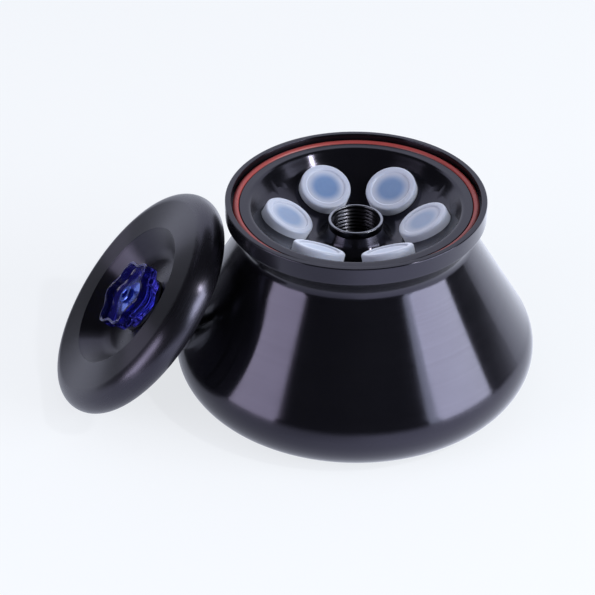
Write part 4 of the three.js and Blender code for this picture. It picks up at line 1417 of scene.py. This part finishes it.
def stage_piece(name, points, faces, finish, unseen_by=()):
    """A mesh that belongs to the studio and not to the object."""
    mesh = bpy.data.meshes.new(name)
    mesh.from_pydata(points, [], faces)
    mesh.materials.append(finish)
    piece = bpy.data.objects.new(name, mesh)
    bpy.context.scene.collection.objects.link(piece)
    for kind in unseen_by:
        setattr(piece, "visible_" + kind, False)


def floor():
    """A wide pale floor that is mostly its own plain colour, so that it stays even, and takes a soft
    shadow from the rest. Gloss sees it bluer, with a painted pool of light on the right, under the large
    softbox."""
    finish, tree, shader = new_finish("studio floor")
    tree.nodes.remove(shader)
    matt = node(tree, "ShaderNodeBsdfDiffuse", Color=(*PALE, 1))
    place = node(tree, "ShaderNodeSeparateXYZ", Vector=node(tree, "ShaderNodeTexCoord").outputs["Object"])
    # painted pool of light: the floor's glow seen in gloss rises toward the right
    painted_pool = ramp(tree, place.outputs["X"], *FLOOR_PAINTED_POOL, "SMOOTHSTEP")
    glossy = node(tree, "ShaderNodeLightPath").outputs["Is Glossy Ray"]
    strength = arithmetic(tree, "MULTIPLY_ADD", glossy, painted_pool, 1.0)
    colour = mixed(tree, glossy, FLOOR_PLAIN, GLOSS_PALE)
    plain = node(tree, "ShaderNodeEmission", Color=colour, Strength=strength)
    share = arithmetic(tree, "MULTIPLY", seen_rays(tree), FLOOR_PLAIN_SHARE)
    both = node(tree, "ShaderNodeMixShader", i0=share, i1=matt.outputs[0], i2=plain.outputs[0])
    tree.links.new(both.outputs[0], tree.nodes["Material Output"].inputs["Surface"])
    corners = [(x * FLOOR_SIZE, y * FLOOR_SIZE, -FLOOR_DROP) for x, y in ((-1, -1), (1, -1), (1, 1), (-1, 1))]
    stage_piece("studio_floor", corners, [(0, 1, 2, 3)], finish)


def curtain_patch(azimuths, elevations, reach, centre, slant=0.0):
    """A patch of a sphere by azimuth and elevation in degrees: the centre plus the reach times
    (cosine of elevation times sine of azimuth, minus cosine of elevation times cosine of azimuth,
    sine of elevation). With a slant, the edge at the first azimuth leans back over the lowest few
    degrees."""
    azimuth, elevation = np.meshgrid(np.radians(azimuths), np.radians(elevations), indexing="ij")
    share = np.linspace(1, 0, len(azimuths))[:, None]
    azimuth = azimuth - share * slant * np.minimum(elevation - elevation[:, :1], CURTAIN_BEND)
    level = np.cos(elevation)
    way = np.stack([level * np.sin(azimuth), -level * np.cos(azimuth), np.sin(elevation)], -1)
    return centre + reach * way


def curtain():
    """Dark studio cloth round the front, the sides and overhead, seen only in gloss. It leaves the
    back open up to a height, and two nearer wings stand on the floor, one behind the lid's side, with
    a slanting edge, and one on the right."""
    finish, tree, shader = new_finish("studio curtain")
    tree.nodes.remove(shader)
    dim = node(tree, "ShaderNodeEmission", Color=(*CURTAIN_COLOUR, 1), Strength=CURTAIN_STRENGTH)
    tree.links.new(dim.outputs[0], tree.nodes["Material Output"].inputs["Surface"])
    sides = curtain_patch(np.linspace(-120, 120, 81), np.linspace(1, CURTAIN_TOP, 17),
                          CURTAIN_REACH, np.zeros(3))
    overhead = curtain_patch(np.linspace(-180, 180, 121), np.linspace(CURTAIN_TOP, 90, 15),
                             CURTAIN_REACH, np.zeros(3))
    left_wing = curtain_patch(np.linspace(-136.8, -95, 33), np.linspace(-5.0, CURTAIN_TOP, 89),
                              LEFT_WING_REACH, LID_MIDDLE, LEFT_WING_SLANT)
    right_wing = curtain_patch(np.linspace(88, 110, 17), np.linspace(-3.3, CURTAIN_TOP, 41),
                               RIGHT_WING_REACH, ROTOR_MIDDLE)
    points, faces, start = [], [], 0
    for grid in (sides, overhead, left_wing, right_wing):
        index = start + np.arange(grid[..., 0].size).reshape(grid.shape[:2])
        start += index.size
        faces.append(grid_faces(index))
        points.append(grid.reshape(-1, 3))
    stage_piece("studio_curtain", np.vstack(points).tolist(), np.vstack(faces).tolist(), finish,
                ("camera", "diffuse", "transmission", "volume_scatter", "shadow"))


def world():
    """The pale backdrop, and a plainer fill for the light that matt surfaces gather."""
    sky = bpy.data.worlds.new("studio")
    bpy.context.scene.world = sky
    sky.use_nodes = True
    tree = sky.node_tree
    tree.nodes.clear()
    fill = node(tree, "ShaderNodeBackground", Color=(*FILL_COLOUR, 1), Strength=FILL_STRENGTH)
    glossy = node(tree, "ShaderNodeLightPath").outputs["Is Glossy Ray"]
    pale = mixed(tree, glossy, PALE, GLOSS_BACKDROP)
    backdrop = node(tree, "ShaderNodeBackground", Color=pale, Strength=1.0)
    both = node(tree, "ShaderNodeMixShader", i0=seen_rays(tree), i1=fill.outputs[0], i2=backdrop.outputs[0])
    out = node(tree, "ShaderNodeOutputWorld")
    tree.links.new(both.outputs[0], out.inputs["Surface"])


def softbox(name, azimuths, elevations, radiance, colour, distance=LAMP_DISTANCE, shape="RECTANGLE"):
    """An area lamp that fills the given azimuths and elevations as seen from the rotor. Azimuth 0 is
    the front and 90 the right side."""
    azimuth, elevation = math.radians(sum(azimuths) / 2), math.radians(sum(elevations) / 2)
    wide = 2 * distance * math.tan(math.radians(azimuths[1] - azimuths[0]) / 2)
    tall = 2 * distance * math.tan(math.radians(elevations[1] - elevations[0]) / 2)
    lamp = bpy.data.lights.new(name, "AREA")
    lamp.shape = shape
    lamp.size = wide
    lamp.size_y = tall
    lamp.color = colour
    lamp.energy = radiance * wide * tall * math.pi
    box = bpy.data.objects.new(name, lamp)
    bpy.context.scene.collection.objects.link(box)
    level = math.cos(elevation)
    way = Vector((level * math.sin(azimuth), -level * math.cos(azimuth), math.sin(elevation)))
    box.location = Vector(ROTOR_MIDDLE) + way * distance
    box.rotation_mode = "QUATERNION"
    box.rotation_quaternion = (-way).to_track_quat("-Z", "Y")
    box.visible_camera = False


def camera():
    """The viewpoint: aimed at a point near the rotor's axis, from the front and above, with a slight
    roll."""
    target = Vector((rotor_place[0, 3] - CAMERA_AIM_LEFT, 0, CAMERA_AIM_HEIGHT))
    back = Vector((0, -math.cos(CAMERA_ELEVATION), math.sin(CAMERA_ELEVATION)))
    right, up = Vector((1, 0, 0)), Vector((0, math.sin(CAMERA_ELEVATION), math.cos(CAMERA_ELEVATION)))
    turned_right = right * math.cos(CAMERA_ROLL) + up * math.sin(CAMERA_ROLL)
    turned_up = up * math.cos(CAMERA_ROLL) - right * math.sin(CAMERA_ROLL)
    data = bpy.data.cameras.new("camera")
    data.lens = CAMERA_LENS
    data.sensor_width = CAMERA_SENSOR
    eye = bpy.data.objects.new("camera", data)
    eye.matrix_world = Matrix((turned_right, turned_up, back)).transposed().to_4x4()
    eye.location = target + back * CAMERA_DISTANCE
    bpy.context.scene.collection.objects.link(eye)
    bpy.context.scene.camera = eye


floor()
curtain()
world()
softbox("left_softbox", (-80, -48), SOFTBOX_RISE, 5.6, (0.92, 0.88, 1.0))
softbox("right_softbox", (50, 86), SOFTBOX_RISE, 10.5, (0.88, 0.93, 1.0))
softbox("right_strip", (42.5, 50), SOFTBOX_RISE, 4.6, (0.82, 0.92, 1.0))
softbox("spark_lamp", (56.5, 59.5), (45, 48), 320.0, (1.0, 1.0, 1.0), 2.9, "DISK")
camera()
bpy.context.scene.view_settings.view_transform = "Standard"
